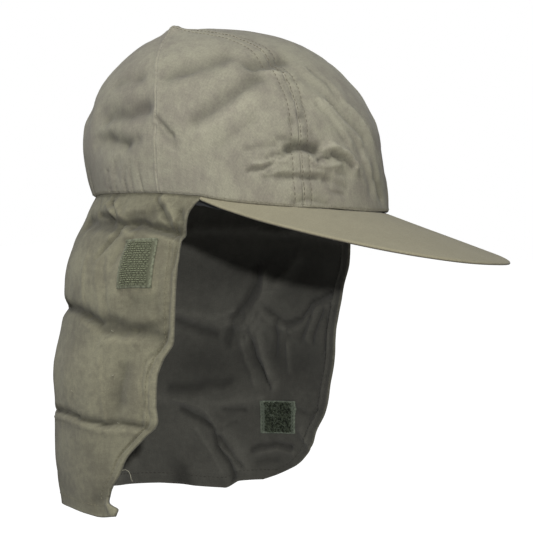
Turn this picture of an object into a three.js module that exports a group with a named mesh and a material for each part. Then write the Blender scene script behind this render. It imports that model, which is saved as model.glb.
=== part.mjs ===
import * as THREE from 'three';

// Legionnaire cap: a soft cotton crown sewn from four panels, a stiff peak and a neck flap that hangs
// from the crown's edge. Millimetres, +Z up. The peak points along -Y and +X is the wearer's left.
// The origin is the centre of the head opening in the plane of the rim.

const CROWN_LENGTH = 207;
const CROWN_WIDTH = 169;
const CROWN_HEIGHT = 112;
const CROWN_CLOTH = 1.2;
const CROWN_FOLD = 5;
const RIM_LIFT = 10;
const SEAM_GAP = 0.3;
const LAYER_GAP = 0.7;

const VISOR_THICKNESS = 2.2;
const VISOR_WIDTH = 158;
const VISOR_REACH = 90;
const VISOR_START = 45;
const VISOR_END_ANGLE = 68;
const VISOR_ROUNDNESS = 2.28;
const VISOR_SLOPE = Math.tan(THREE.MathUtils.degToRad(17));
const VISOR_FRONT_DROP = 6.3;
const VISOR_ARCH = 13.5;
const VISOR_ARCH_WIDTH = 80;
const VISOR_ARCH_FADE = 0.365;
const VISOR_TWIST = 0.06;

const BAND_CLOTH = 1;
const BAND_DROP = 6;
const BAND_RING = 0.82;

const FLAP_DROP = 200;
const FLAP_CLOTH = 2.6;
const FLAP_FOLD = 5;
const FLAP_TOP_CLOTH = 1.2;
const FLAP_TUCK = 0.035;
const TUCK_RINGS = 0.045;

const PATCH_CLOTH = 1.4;
const PATCH_GAP = 1;
const HOOK_WIDTH = 25;
const HOOK_HEIGHT = 32;
const LOOP_WIDTH = 25;
const LOOP_HEIGHT = 23;

const HALF_LENGTH = CROWN_LENGTH / 2;
const HALF_WIDTH = CROWN_WIDTH / 2;

// Reads one column of a table with a smooth curve through its rows that never overshoots them.
function readTable(rows, key, column, at) {
  const last = rows.length - 1;
  const place = Math.min(Math.max(at, rows[0][key]), rows[last][key]);
  let low = 0;
  while (low < last - 1 && rows[low + 1][key] < place) low += 1;
  const step = (i) => rows[i + 1][key] - rows[i][key];
  const slope = (i) => (rows[i + 1][column] - rows[i][column]) / step(i);
  const tangent = (i) => {
    if (i === 0) return slope(0);
    if (i === last) return slope(last - 1);
    const before = slope(i - 1);
    const after = slope(i);
    if (before * after <= 0) return 0;
    return (2 * before * after) / (before + after);
  };
  const width = step(low);
  const t = (place - rows[low][key]) / width;
  const rest = 1 - t;
  const start = rows[low][column] * rest * rest * (1 + 2 * t) + tangent(low) * width * t * rest * rest;
  const end = rows[low + 1][column] * t * t * (3 - 2 * t) - tangent(low + 1) * width * t * t * rest;
  return start + end;
}

const radians = THREE.MathUtils.degToRad;
const degrees = THREE.MathUtils.radToDeg;
const mix = THREE.MathUtils.lerp;

// The peak's upper face: a plane that slopes down to the front, arched across and twisted a little.
// The arch is deepest at the crown and flattens toward the front edge.
function visorTop(x, y) {
  const forward = -y - HALF_LENGTH;
  const fade = 1 - VISOR_ARCH_FADE * Math.min(Math.max(forward / VISOR_REACH, -0.6), 1);
  const arch = VISOR_ARCH * (x / VISOR_ARCH_WIDTH) ** 2 * fade;
  return -VISOR_SLOPE * forward - arch - VISOR_TWIST * x - VISOR_FRONT_DROP;
}

// The crown's profile: ring is 1 at the rim and 0 at the top, the rest are shares of the crown's
// height, half length, half width and half length.
const CROWN_RINGS = [
  { ring: 0, height: 1, length: 0, width: 0, back: 0.29 },
  { ring: 0.05, height: 0.996, length: 0.095, width: 0.098, back: 0.262 },
  { ring: 0.13, height: 0.975, length: 0.24, width: 0.25, back: 0.22 },
  { ring: 0.27, height: 0.915, length: 0.48, width: 0.49, back: 0.155 },
  { ring: 0.4, height: 0.815, length: 0.67, width: 0.68, back: 0.115 },
  { ring: 0.52, height: 0.68, length: 0.83, width: 0.835, back: 0.088 },
  { ring: 0.62, height: 0.545, length: 0.93, width: 0.93, back: 0.075 },
  { ring: 0.72, height: 0.4, length: 0.99, width: 0.99, back: 0.062 },
  { ring: 0.82, height: 0.25, length: 1.005, width: 1.005, back: 0.045 },
  { ring: 0.92, height: 0.11, length: 1, width: 1, back: 0.02 },
  { ring: 1, height: 0, length: 0.985, width: 0.99, back: -0.01 },
];

const RIM_RING = CROWN_RINGS[CROWN_RINGS.length - 1];

// Where the rim passes at an angle from the front, positive toward the wearer's left.
function rimPlan(angle) {
  const x = HALF_WIDTH * RIM_RING.width * Math.sin(angle);
  const y = HALF_LENGTH * (RIM_RING.back - RIM_RING.length * Math.cos(angle));
  return [x, y];
}

// Where the peak ends, by the angle from the front: where the rim grows wider than the peak, or at
// VISOR_END_ANGLE if that comes first.
const RIM_WIDTH = CROWN_WIDTH * RIM_RING.width;
const VISOR_ENDS = Math.min(VISOR_END_ANGLE, degrees(Math.asin(Math.min(VISOR_WIDTH / RIM_WIDTH, 1))));

// The rim just clears the peak, measured at the inner face of the cloth where the peak is highest.
function visorRim(angleDegrees) {
  const [x, y] = rimPlan(radians(angleDegrees));
  const inward = 1 - 1.6 * CROWN_CLOTH / HALF_WIDTH;
  return visorTop(x * inward, y * inward) + SEAM_GAP;
}

// How high the rim passes behind the peak's ends, by the angle from the front, in shares of RIM_LIFT.
const RIM_HEIGHTS = [
  { angle: -180, height: -0.1 },
  { angle: -150, height: 0.1 },
  { angle: -120, height: 0.45 },
  { angle: -90, height: 0.6 },
  { angle: -VISOR_ENDS, height: visorRim(-VISOR_ENDS) / RIM_LIFT },
  { angle: VISOR_ENDS, height: visorRim(VISOR_ENDS) / RIM_LIFT },
  { angle: 90, height: -0.05 },
  { angle: 120, height: 0.05 },
  { angle: 150, height: 0 },
  { angle: 180, height: -0.1 },
];

function rimHeight(angle) {
  const turned = degrees(Math.atan2(Math.sin(angle), Math.cos(angle)));
  if (Math.abs(turned) < VISOR_ENDS) return visorRim(turned);
  return RIM_LIFT * readTable(RIM_HEIGHTS, 'angle', 'height', turned);
}

// Dents (positive depth, a share of CROWN_FOLD) and raised folds (negative). Each runs between two
// places given by an angle from the front and a ring; width is a share of the ring scale.
const CROWN_FOLDS = [
  { angleA: -36, ringA: 0.79, angleB: -19, ringB: 0.775, width: 0.035, depth: 0.9 },
  { angleA: -50, ringA: 0.87, angleB: -37, ringB: 0.81, width: 0.026, depth: 0.36 },
  { angleA: -44, ringA: 0.905, angleB: -23, ringB: 0.9, width: 0.03, depth: 0.4 },
  { angleA: -17, ringA: 0.765, angleB: -6, ringB: 0.84, width: 0.024, depth: -0.4 },
  { angleA: -13, ringA: 0.81, angleB: -10, ringB: 0.86, width: 0.03, depth: 0.32 },
  { angleA: -44, ringA: 0.44, angleB: -27, ringB: 0.45, width: 0.045, depth: 0.6 },
  { angleA: -31, ringA: 0.55, angleB: -25, ringB: 0.62, width: 0.03, depth: 0.36 },
  { angleA: -69, ringA: 0.7, angleB: -38, ringB: 0.5, width: 0.035, depth: 0.36 },
  { angleA: -84, ringA: 0.5, angleB: -62, ringB: 0.45, width: 0.05, depth: 0.32 },
  { angleA: -118, ringA: 0.68, angleB: -92, ringB: 0.67, width: 0.05, depth: 0.48 },
  { angleA: -118, ringA: 0.785, angleB: -101, ringB: 0.8, width: 0.045, depth: 0.36 },
  { angleA: -85, ringA: 0.74, angleB: -78, ringB: 0.8, width: 0.022, depth: 0.28 },
  { angleA: -20, ringA: 0.5, angleB: 4, ringB: 0.92, width: 0.03, depth: 0.24 },
  { angleA: -12, ringA: 0.48, angleB: 12, ringB: 0.86, width: 0.03, depth: -0.2 },
  { angleA: -104, ringA: 0.86, angleB: -107, ringB: 0.92, width: 0.03, depth: 0.2 },
  { angleA: 30, ringA: 0.8, angleB: 52, ringB: 0.86, width: 0.045, depth: 0.48 },
  { angleA: 40, ringA: 0.5, angleB: 74, ringB: 0.66, width: 0.045, depth: 0.36 },
  { angleA: 96, ringA: 0.7, angleB: 120, ringB: 0.78, width: 0.05, depth: 0.4 },
  { angleA: 165, ringA: 0.76, angleB: 190, ringB: 0.8, width: 0.05, depth: 0.36 },
  { angleA: 205, ringA: 0.6, angleB: 228, ringB: 0.68, width: 0.05, depth: 0.32 },
  { angleA: -104, ringA: 0.19, angleB: -112, ringB: 0.17, width: 0.045, depth: -0.72 },
  { angleA: 104, ringA: 0.19, angleB: 112, ringB: 0.17, width: 0.045, depth: -0.6 },
  { angleA: -62, ringA: 0.2, angleB: -40, ringB: 0.27, width: 0.06, depth: 0.48 },
  { angleA: 180, ringA: 0.02, angleB: 0, ringB: 0.02, width: 0.07, depth: 0.24 },
];

// The share of a fold's depth felt at a place, from its distance to the line between the fold's ends.
function foldShare(x, y, fromX, fromY, toX, toY, width) {
  const runX = toX - fromX;
  const runY = toY - fromY;
  const along = ((x - fromX) * runX + (y - fromY) * runY) / (runX * runX + runY * runY);
  const near = Math.min(Math.max(along, 0), 1);
  const away = Math.hypot(x - fromX - near * runX, y - fromY - near * runY);
  return Math.exp(-((away / width) ** 2));
}

function crownDent(x, y) {
  let depth = 0;
  for (const fold of CROWN_FOLDS) {
    const a = radians(fold.angleA);
    const b = radians(fold.angleB);
    const fromX = fold.ringA * Math.sin(a);
    const fromY = -fold.ringA * Math.cos(a);
    const toX = fold.ringB * Math.sin(b);
    const toY = -fold.ringB * Math.cos(b);
    depth += CROWN_FOLD * fold.depth * foldShare(x, y, fromX, fromY, toX, toY, fold.width);
  }
  return depth;
}

// The unfolded crown is a disc of radius 1; this puts one of its places on the smooth dome.
function domePoint(x, y) {
  const ring = Math.max(Math.hypot(x, y), 1e-6);
  const angle = Math.atan2(x, -y);
  const height = readTable(CROWN_RINGS, 'ring', 'height', ring);
  const length = HALF_LENGTH * readTable(CROWN_RINGS, 'ring', 'length', ring);
  const width = HALF_WIDTH * readTable(CROWN_RINGS, 'ring', 'width', ring);
  const back = HALF_LENGTH * readTable(CROWN_RINGS, 'ring', 'back', ring);
  const z = CROWN_HEIGHT * height + rimHeight(angle) * (1 - height);
  return new THREE.Vector3(width * Math.sin(angle), back - length * Math.cos(angle), z);
}

// The direction square to a surface given by two numbers, on the side its grid faces.
function surfaceNormal(surface, u, v, stepU, stepV) {
  const alongU = surface(u + stepU, v).sub(surface(u - stepU, v));
  const alongV = surface(u, v + stepV).sub(surface(u, v - stepV));
  return alongU.cross(alongV).normalize();
}

const DISC_STEP = 0.004;

function crownPoint(x, y) {
  const outward = surfaceNormal(domePoint, x, y, DISC_STEP, DISC_STEP);
  return domePoint(x, y).addScaledVector(outward, -crownDent(x, y));
}

// A place under the crown's outer face, inset by a distance square to the cloth.
function crownLayer(x, y, inset) {
  const outward = surfaceNormal(crownPoint, x, y, DISC_STEP, DISC_STEP);
  return crownPoint(x, y).addScaledVector(outward, -inset);
}

// Joins an outer and an inner face into one closed body. Both faces are surfaces over numbers from 0
// to 1. A wrapping body meets itself at the ends of u. Edges marked round bulge by that many
// millimetres halfway between the faces.
function closedShell(outer, inner, columns, rows, { wraps = false, round = () => 0 } = {}) {
  const across = wraps ? columns : columns + 1;
  const places = [];
  const triangles = [];
  for (const face of [outer, inner]) {
    for (let r = 0; r <= rows; r += 1) {
      for (let c = 0; c < across; c += 1) places.push(face(c / columns, r / rows));
    }
  }
  const innerStart = across * (rows + 1);
  const index = (c, r) => r * across + (wraps ? c % columns : c);
  for (let r = 0; r < rows; r += 1) {
    for (let c = 0; c < columns; c += 1) {
      const corners = [index(c, r), index(c + 1, r), index(c + 1, r + 1), index(c, r + 1)];
      const [a, b, d, e] = corners;
      const [f, g, h, i] = corners.map((corner) => corner + innerStart);
      triangles.push([a, b, d], [a, d, e], [f, h, g], [f, i, h]);
    }
  }
  const middle = (c, r) => places[index(c, r)].clone().lerp(places[index(c, r) + innerStart], 0.5);
  const edgePlace = (c, r) => {
    const insideC = wraps ? c : Math.min(Math.max(c, 1), columns - 1);
    const insideR = Math.min(Math.max(r, 1), rows - 1);
    const place = middle(c, r);
    const away = place.clone().sub(middle(insideC, insideR)).normalize();
    return place.addScaledVector(away, round(c / columns, r / rows));
  };
  const closeEdge = (line) => {
    const start = places.length;
    for (const [c, r] of line) places.push(edgePlace(c, r));
    const count = line.length;
    for (let i = 0; i < count; i += 1) {
      const next = (i + 1) % count;
      const a = index(...line[i]);
      const b = index(...line[next]);
      triangles.push([b, a, start + i], [b, start + i, start + next]);
      triangles.push([start + next, start + i, a + innerStart]);
      triangles.push([start + next, a + innerStart, b + innerStart]);
    }
  };
  const line = [];
  for (let c = 0; c < columns; c += 1) line.push([c, 0]);
  if (wraps) closeEdge(line.splice(0));
  for (let r = 0; r < rows && !wraps; r += 1) line.push([columns, r]);
  for (let c = columns; c > 0; c -= 1) line.push([c, rows]);
  for (let r = rows; r > 0 && !wraps; r -= 1) line.push([0, r]);
  closeEdge(line);
  return bodyGeometry(places, triangles);
}

// A geometry whose triangles face out of the body whichever way its grid ran.
function bodyGeometry(places, triangles) {
  let volume = 0;
  for (const [a, b, c] of triangles) {
    volume += places[a].dot(places[b].clone().cross(places[c]));
  }
  const facing = volume < 0 ? triangles.map(([a, b, c]) => [a, c, b]) : triangles;
  const geometry = new THREE.BufferGeometry();
  geometry.setAttribute('position', new THREE.Float32BufferAttribute(places.flatMap((p) => p.toArray()), 3));
  geometry.setIndex(facing.flat());
  geometry.computeVertexNormals();
  return geometry;
}

// The edge between the centre strip and a side panel on the crown's disc, from the rim to the strip's
// rear corner. The strip is widest at the peak and nearly even over the top.
const STRIP_EDGE = [
  { along: 0, x: 0.53, y: -0.848 },
  { along: 0.2, x: 0.4, y: -0.67 },
  { along: 0.36, x: 0.29, y: -0.52 },
  { along: 0.52, x: 0.215, y: -0.36 },
  { along: 0.66, x: 0.18, y: -0.22 },
  { along: 0.82, x: 0.16, y: -0.08 },
  { along: 1, x: 0.15, y: 0.05 },
];

// The plain seam between a side panel and the back panel, from the rim to the same corner.
const SIDE_SEAM = [
  { along: 0, x: 0.9986, y: -0.052 },
  { along: 0.04, x: 0.965, y: -0.055 },
  { along: 0.2, x: 0.82, y: -0.071 },
  { along: 0.34, x: 0.71, y: -0.062 },
  { along: 0.5, x: 0.56, y: -0.025 },
  { along: 0.66, x: 0.43, y: 0.02 },
  { along: 0.86, x: 0.26, y: 0.05 },
  { along: 1, x: 0.15, y: 0.05 },
];

const STRIP_FOOT = STRIP_EDGE[0];
const STRIP_CORNER = STRIP_EDGE[STRIP_EDGE.length - 1];
const SEAM_FOOT = SIDE_SEAM[0];
const FOOT_ANGLE = Math.atan2(STRIP_FOOT.x, -STRIP_FOOT.y);
const SEAM_ANGLE = Math.atan2(SEAM_FOOT.x, -SEAM_FOOT.y);
const HALF_GAP = SEAM_GAP / CROWN_LENGTH;
const POINTED_END = 0.985;
const RIM_CLOSENESS = 0.3;

// Panels that share a seam share its steps, so their faceted edges run side by side.
const STRIP_COLUMNS = 8;
const SEAM_ROWS = 16;
const BACK_COLUMNS = STRIP_COLUMNS + 2 * SEAM_ROWS;

function crownPanel(place, columns, rows) {
  const outer = (u, v) => crownLayer(...place(u, v), 0);
  const inner = (u, v) => crownLayer(...place(u, v), CROWN_CLOTH);
  return closedShell(outer, inner, columns, rows);
}

function stripPlace(u, v) {
  const side = 2 * u - 1;
  const x = side * (readTable(STRIP_EDGE, 'along', 'x', v) - HALF_GAP);
  const y = readTable(STRIP_EDGE, 'along', 'y', v) - v * HALF_GAP;
  const bow = (1 - v) * (-Math.cos(side * FOOT_ANGLE) - STRIP_FOOT.y);
  return [x, y + bow];
}

function sidePlace(side, u, v) {
  const along = Math.min(v, POINTED_END);
  const frontX = readTable(STRIP_EDGE, 'along', 'x', along) + HALF_GAP;
  const frontY = readTable(STRIP_EDGE, 'along', 'y', along);
  const seamX = readTable(SIDE_SEAM, 'along', 'x', along);
  const seamY = readTable(SIDE_SEAM, 'along', 'y', along) - HALF_GAP;
  const rimAngle = mix(FOOT_ANGLE, SEAM_ANGLE, u);
  const bowX = (1 - v) * (Math.sin(rimAngle) - mix(STRIP_FOOT.x, SEAM_FOOT.x, u));
  const bowY = (1 - v) * (-Math.cos(rimAngle) - mix(STRIP_FOOT.y, SEAM_FOOT.y, u));
  return [side * (mix(frontX, seamX, u) + bowX), mix(frontY, seamY, u) + bowY];
}

function backPlace(u, v) {
  const side = 2 * u - 1;
  const column = Math.abs(side) * BACK_COLUMNS / 2;
  const along = Math.min((BACK_COLUMNS / 2 - column) / SEAM_ROWS, 1);
  const onStrip = Math.min(column / (STRIP_COLUMNS / 2), 1);
  const frontX = Math.sign(side) * readTable(SIDE_SEAM, 'along', 'x', along) * onStrip;
  const frontY = readTable(SIDE_SEAM, 'along', 'y', along) + HALF_GAP;
  const turn = Math.sign(side) * Math.min(Math.abs(side), POINTED_END);
  const rimAngle = turn * (Math.PI - SEAM_ANGLE);
  const down = v * (1 + RIM_CLOSENESS * (1 - v));
  return [mix(frontX, Math.sin(rimAngle), down), mix(frontY, Math.cos(rimAngle), down)];
}

// Half of the peak's outline, in the plan view: its ends stand on the rim, its sides run forward and
// its front is a wide arc.
const VISOR_SIDE_SHARE = 0.93;

function visorEdge(side) {
  const share = Math.abs(side);
  const turn = Math.min(share / VISOR_SIDE_SHARE, 1) * Math.PI / 2;
  const x = (VISOR_WIDTH / 2) * Math.sin(turn) ** (2 / VISOR_ROUNDNESS);
  const length = HALF_LENGTH + VISOR_REACH - VISOR_START;
  const forward = VISOR_START + length * Math.max(Math.cos(turn), 0) ** (2 / VISOR_ROUNDNESS);
  const [endX, endY] = rimPlan(radians(VISOR_ENDS));
  const end = Math.max(share - VISOR_SIDE_SHARE, 0) / (1 - VISOR_SIDE_SHARE);
  return [Math.sign(side) * mix(x, endX, end), mix(-forward, endY, end)];
}

const VISOR_TUCK = CROWN_CLOTH + LAYER_GAP + FLAP_TOP_CLOTH;

function visorPlace(u, v) {
  const side = 2 * u - 1;
  const angle = radians(side * VISOR_ENDS);
  const tucked = crownLayer(Math.sin(angle), -Math.cos(angle), VISOR_TUCK);
  const [edgeX, edgeY] = visorEdge(side);
  return [mix(tucked.x, edgeX, v), mix(tucked.y, edgeY, v)];
}

function visorFace(depth) {
  return (u, v) => {
    const [x, y] = visorPlace(u, v);
    return new THREE.Vector3(x, y, visorTop(x, y) - depth);
  };
}

function visor() {
  const round = (u, v) => (v === 0 ? 0 : VISOR_THICKNESS * 0.35);
  return closedShell(visorFace(0), visorFace(VISOR_THICKNESS), 28, 6, { round });
}

// The sweatband stands inside the crown, behind the peak's and the flap's sewn edges, and hangs a
// little below the rim.
const BAND_INSET = VISOR_TUCK + LAYER_GAP;

function bandFace(inset) {
  return (u, v) => {
    const angle = 2 * Math.PI * u;
    const ring = Math.min(mix(BAND_RING, 1.07, v), 1);
    const place = crownLayer(ring * Math.sin(angle), -ring * Math.cos(angle), inset);
    const below = Math.max(mix(BAND_RING, 1.07, v) - 1, 0) / 0.07;
    place.z -= BAND_DROP * below;
    return place;
  };
}

function sweatband() {
  return closedShell(bandFace(BAND_INSET), bandFace(BAND_INSET + BAND_CLOTH), 48, 4, { wraps: true });
}

const FLAP_INSET = CROWN_CLOTH + LAYER_GAP;

// The flap's shape down its length: shares of the crown's half length, half width and half length,
// then how far its top is inset under the crown's edge and how thick it is.
const FLAP_SHAPE = [
  { drop: 0, length: 0.985, width: 0.99, back: -0.01, inset: FLAP_INSET, cloth: FLAP_TOP_CLOTH },
  { drop: 0.06, length: 1.01, width: 1.01, back: 0.015, inset: 0, cloth: FLAP_CLOTH },
  { drop: 0.15, length: 1.07, width: 1.06, back: 0.055, inset: 0, cloth: FLAP_CLOTH },
  { drop: 0.26, length: 1.09, width: 1.09, back: 0.085, inset: 0, cloth: FLAP_CLOTH },
  { drop: 0.38, length: 1.11, width: 1.11, back: 0.105, inset: 0, cloth: FLAP_CLOTH },
  { drop: 0.5, length: 1.12, width: 1.12, back: 0.13, inset: 0, cloth: FLAP_CLOTH },
  { drop: 0.62, length: 1.13, width: 1.13, back: 0.145, inset: 0, cloth: FLAP_CLOTH },
  { drop: 0.74, length: 1.135, width: 1.135, back: 0.155, inset: 0, cloth: FLAP_CLOTH },
  { drop: 0.82, length: 1.135, width: 1.135, back: 0.155, inset: 0, cloth: FLAP_CLOTH },
  { drop: 0.88, length: 1.135, width: 1.135, back: 0.145, inset: 0, cloth: FLAP_CLOTH },
  { drop: 1, length: 1.12, width: 1.12, back: 0.12, inset: 0, cloth: FLAP_CLOTH },
];

// The angle from the front of the flap's two hanging edges, on the wearer's right and left.
const FLAP_EDGES = [
  { drop: 0, right: 70.5, left: 69.5 },
  { drop: 0.1, right: 73.3, left: 71.3 },
  { drop: 0.2, right: 73.9, left: 71.7 },
  { drop: 0.3, right: 73.7, left: 75 },
  { drop: 0.42, right: 73.2, left: 77.2 },
  { drop: 0.45, right: 73, left: 77.5 },
  { drop: 0.51, right: 76, left: 77.5 },
  { drop: 0.57, right: 77.5, left: 78 },
  { drop: 0.65, right: 77.5, left: 79.5 },
  { drop: 0.7, right: 76.8, left: 80 },
  { drop: 0.76, right: 82, left: 81.8 },
  { drop: 0.82, right: 88.1, left: 85.2 },
  { drop: 0.88, right: 92.1, left: 87.7 },
  { drop: 0.94, right: 97, left: 93.1 },
  { drop: 0.97, right: 97.6, left: 99.8 },
  { drop: 1, right: 98.1, left: 108 },
];

// The hem's height by the angle from the back, positive toward the wearer's left.
const FLAP_HEM = [
  { angle: -90, share: 0.95 },
  { angle: -60, share: 0.985 },
  { angle: -30, share: 1.01 },
  { angle: 0, share: 1.01 },
  { angle: 30, share: 1.015 },
  { angle: 60, share: 1.005 },
  { angle: 90, share: 0.985 },
];

// Creases and dents (positive depth, toward the neck) and puffed or raised places (negative), as shares
// of FLAP_FOLD. Angles are from the back, drops and widths are shares of the flap's drop.
const FLAP_FOLDS = [
  { angleA: -52, dropA: 0.09, angleB: -84, dropB: 0.105, width: 0.022, depth: 0.68 },
  { angleA: -84, dropA: 0.105, angleB: -104, dropB: 0.116, width: 0.02, depth: 0.8 },
  { angleA: 40, dropA: 0.1, angleB: 104, dropB: 0.115, width: 0.022, depth: 0.6 },
  { angleA: -30, dropA: 0.35, angleB: -68, dropB: 0.38, width: 0.022, depth: 0.6 },
  { angleA: -68, dropA: 0.38, angleB: -103, dropB: 0.44, width: 0.02, depth: 0.6 },
  { angleA: -30, dropA: 0.35, angleB: 35, dropB: 0.4, width: 0.024, depth: 0.44 },
  { angleA: 37, dropA: 0.4, angleB: 67, dropB: 0.45, width: 0.018, depth: 0.44 },
  { angleA: -20, dropA: 0.69, angleB: -69, dropB: 0.705, width: 0.012, depth: 0.52 },
  { angleA: -69, dropA: 0.705, angleB: -102, dropB: 0.728, width: 0.011, depth: 0.52 },
  { angleA: -20, dropA: 0.69, angleB: 72, dropB: 0.715, width: 0.018, depth: 0.4 },
  { angleA: -70, dropA: 0.05, angleB: -85, dropB: 0.13, width: 0.016, depth: -0.4 },
  { angleA: -86, dropA: 0.13, angleB: -81, dropB: 0.21, width: 0.022, depth: 0.32 },
  { angleA: -95, dropA: 0.05, angleB: -100, dropB: 0.085, width: 0.014, depth: 0.32 },
  { angleA: -70, dropA: 0.15, angleB: -76, dropB: 0.34, width: 0.02, depth: -0.28 },
  { angleA: -76, dropA: 0.42, angleB: -81, dropB: 0.64, width: 0.02, depth: -0.28 },
  { angleA: -40, dropA: 0.24, angleB: -96, dropB: 0.27, width: 0.08, depth: -0.48 },
  { angleA: -40, dropA: 0.55, angleB: -92, dropB: 0.58, width: 0.1, depth: -0.52 },
  { angleA: 20, dropA: 0.24, angleB: 90, dropB: 0.26, width: 0.08, depth: -0.4 },
  { angleA: 20, dropA: 0.56, angleB: 88, dropB: 0.58, width: 0.08, depth: -0.4 },
  { angleA: 72, dropA: 0.45, angleB: 65, dropB: 0.52, width: 0.018, depth: 0.4 },
  { angleA: 65, dropA: 0.41, angleB: 77, dropB: 0.67, width: 0.02, depth: 0.52 },
  { angleA: 85, dropA: 0.21, angleB: 70, dropB: 0.38, width: 0.026, depth: 0.4 },
  { angleA: 58, dropA: 0.8, angleB: 65, dropB: 0.95, width: 0.022, depth: 0.4 },
  { angleA: -84, dropA: 0.99, angleB: -79, dropB: 0.93, width: 0.045, depth: -1.2 },
  { angleA: 14, dropA: 0.95, angleB: 12, dropB: 1.02, width: 0.04, depth: 0.6 },
  { angleA: 40, dropA: 0.95, angleB: 41, dropB: 1.02, width: 0.035, depth: -0.6 },
];

// One radian round the neck, as a share of the flap's drop.
const FLAP_TURN = 0.57;

function flapDent(angle, drop) {
  let depth = 0;
  for (const fold of FLAP_FOLDS) {
    const fromX = FLAP_TURN * radians(fold.angleA);
    const toX = FLAP_TURN * radians(fold.angleB);
    const share = foldShare(FLAP_TURN * angle, drop, fromX, fold.dropA, toX, fold.dropB, fold.width);
    depth += FLAP_FOLD * fold.depth * share;
  }
  return depth;
}

// A place on the flap's smooth outer face, by the angle from the back in radians and the drop.
function hangingPoint(angle, drop) {
  const read = (column) => readTable(FLAP_SHAPE, 'drop', column, drop);
  const rim = crownLayer(Math.sin(angle), Math.cos(angle), 0);
  const tucked = crownLayer(Math.sin(angle), Math.cos(angle), read('inset')).sub(rim);
  const x = HALF_WIDTH * read('width') * Math.sin(angle);
  const y = HALF_LENGTH * (read('back') + read('length') * Math.cos(angle));
  const top = rimHeight(Math.PI - angle);
  const hem = -FLAP_DROP * readTable(FLAP_HEM, 'angle', 'share', degrees(angle));
  return new THREE.Vector3(x + tucked.x, y + tucked.y, mix(top, hem, drop));
}

const TURN_STEP = 0.01;
const DROP_STEP = 0.005;

function flapPoint(angle, drop) {
  const outward = surfaceNormal(hangingPoint, angle, drop, TURN_STEP, DROP_STEP);
  return hangingPoint(angle, drop).addScaledVector(outward, -flapDent(angle, drop));
}

// A place inset from the flap's outer face. Above the rim the flap lies flat inside the crown.
function flapLayer(angle, drop, inset) {
  if (drop < 0) {
    const ring = 1 + TUCK_RINGS * drop / FLAP_TUCK;
    return crownLayer(ring * Math.sin(angle), ring * Math.cos(angle), FLAP_INSET + inset);
  }
  const outward = surfaceNormal(flapPoint, angle, Math.max(drop, DROP_STEP), TURN_STEP, DROP_STEP);
  return flapPoint(angle, drop).addScaledVector(outward, -inset);
}

function flapAngle(u, drop) {
  const right = readTable(FLAP_EDGES, 'drop', 'right', drop);
  const left = readTable(FLAP_EDGES, 'drop', 'left', drop);
  return radians(mix(right - 180, 180 - left, u));
}

// The first of the flap's rows is the strip tucked under the crown's edge.
const FLAP_ROWS = 25;

function flapFace(share) {
  return (u, v) => {
    const row = v * FLAP_ROWS;
    const drop = row < 1 ? FLAP_TUCK * (row - 1) : (row - 1) / (FLAP_ROWS - 1);
    const cloth = readTable(FLAP_SHAPE, 'drop', 'cloth', drop);
    return flapLayer(flapAngle(u, drop), drop, share * cloth);
  };
}

function neckFlap() {
  const round = (u, v) => (v < 0.1 ? 0 : FLAP_CLOTH * 0.3);
  return closedShell(flapFace(0), flapFace(1), 40, FLAP_ROWS, { round });
}

// A sewn-on fastener patch: centre by angle and drop, turned in the cloth by a lean, and lying at a
// depth below the flap's outer face. Negative depths are outside it.
function patch(centre, width, height, depth) {
  const face = (inset) => (u, v) => {
    const across = (u - 0.5) * width;
    const down = (v - 0.5) * height;
    const lean = radians(centre.lean);
    const turnedAcross = across * Math.cos(lean) - down * Math.sin(lean);
    const turnedDown = across * Math.sin(lean) + down * Math.cos(lean);
    const angle = radians(centre.angle) + turnedAcross / (FLAP_TURN * FLAP_DROP);
    return flapLayer(angle, centre.drop + turnedDown / FLAP_DROP, inset);
  };
  return closedShell(face(depth), face(depth + PATCH_CLOTH), 4, 4);
}

const HOOK_CENTRE = { angle: -91.5, drop: 0.22, lean: -6 };
const LOOP_CENTRE = { angle: 79.5, drop: 0.777, lean: 0 };

// Colours of the cloths, as they look in daylight.
const SHELL_OLIVE = 0x8f8b7c;
const BACK_OLIVE = 0x878373;
const VISOR_OLIVE = 0x938e7a;
const FLAP_OLIVE = 0x7f7b67;
const BAND_GREY = 0x35363a;
const HOOK_GREEN = 0x5c5d4e;
const LOOP_GREEN = 0x2f332a;

const cap = new THREE.Group();
cap.name = 'legionnaire_cap';

function piece(name, geometry, color, roughness) {
  const material = new THREE.MeshStandardMaterial({ color, roughness, metalness: 0 });
  material.name = name;
  const mesh = new THREE.Mesh(geometry, material);
  mesh.name = name;
  cap.add(mesh);
}

piece('crown_centre', crownPanel(stripPlace, STRIP_COLUMNS, SEAM_ROWS), SHELL_OLIVE, 0.85);
piece('crown_side_right', crownPanel((u, v) => sidePlace(-1, u, v), 9, SEAM_ROWS), SHELL_OLIVE, 0.85);
piece('crown_side_left', crownPanel((u, v) => sidePlace(1, u, v), 9, SEAM_ROWS), SHELL_OLIVE, 0.85);
piece('crown_back', crownPanel(backPlace, BACK_COLUMNS, 11), BACK_OLIVE, 0.85);
piece('visor', visor(), VISOR_OLIVE, 0.8);
piece('sweatband', sweatband(), BAND_GREY, 0.9);
piece('neck_flap', neckFlap(), FLAP_OLIVE, 0.88);
piece('hook_patch', patch(HOOK_CENTRE, HOOK_WIDTH, HOOK_HEIGHT, -PATCH_CLOTH - PATCH_GAP), HOOK_GREEN, 0.7);
piece('loop_patch', patch(LOOP_CENTRE, LOOP_WIDTH, LOOP_HEIGHT, FLAP_CLOTH + PATCH_GAP), LOOP_GREEN, 0.95);

export default cap;
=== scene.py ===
import math

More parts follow.
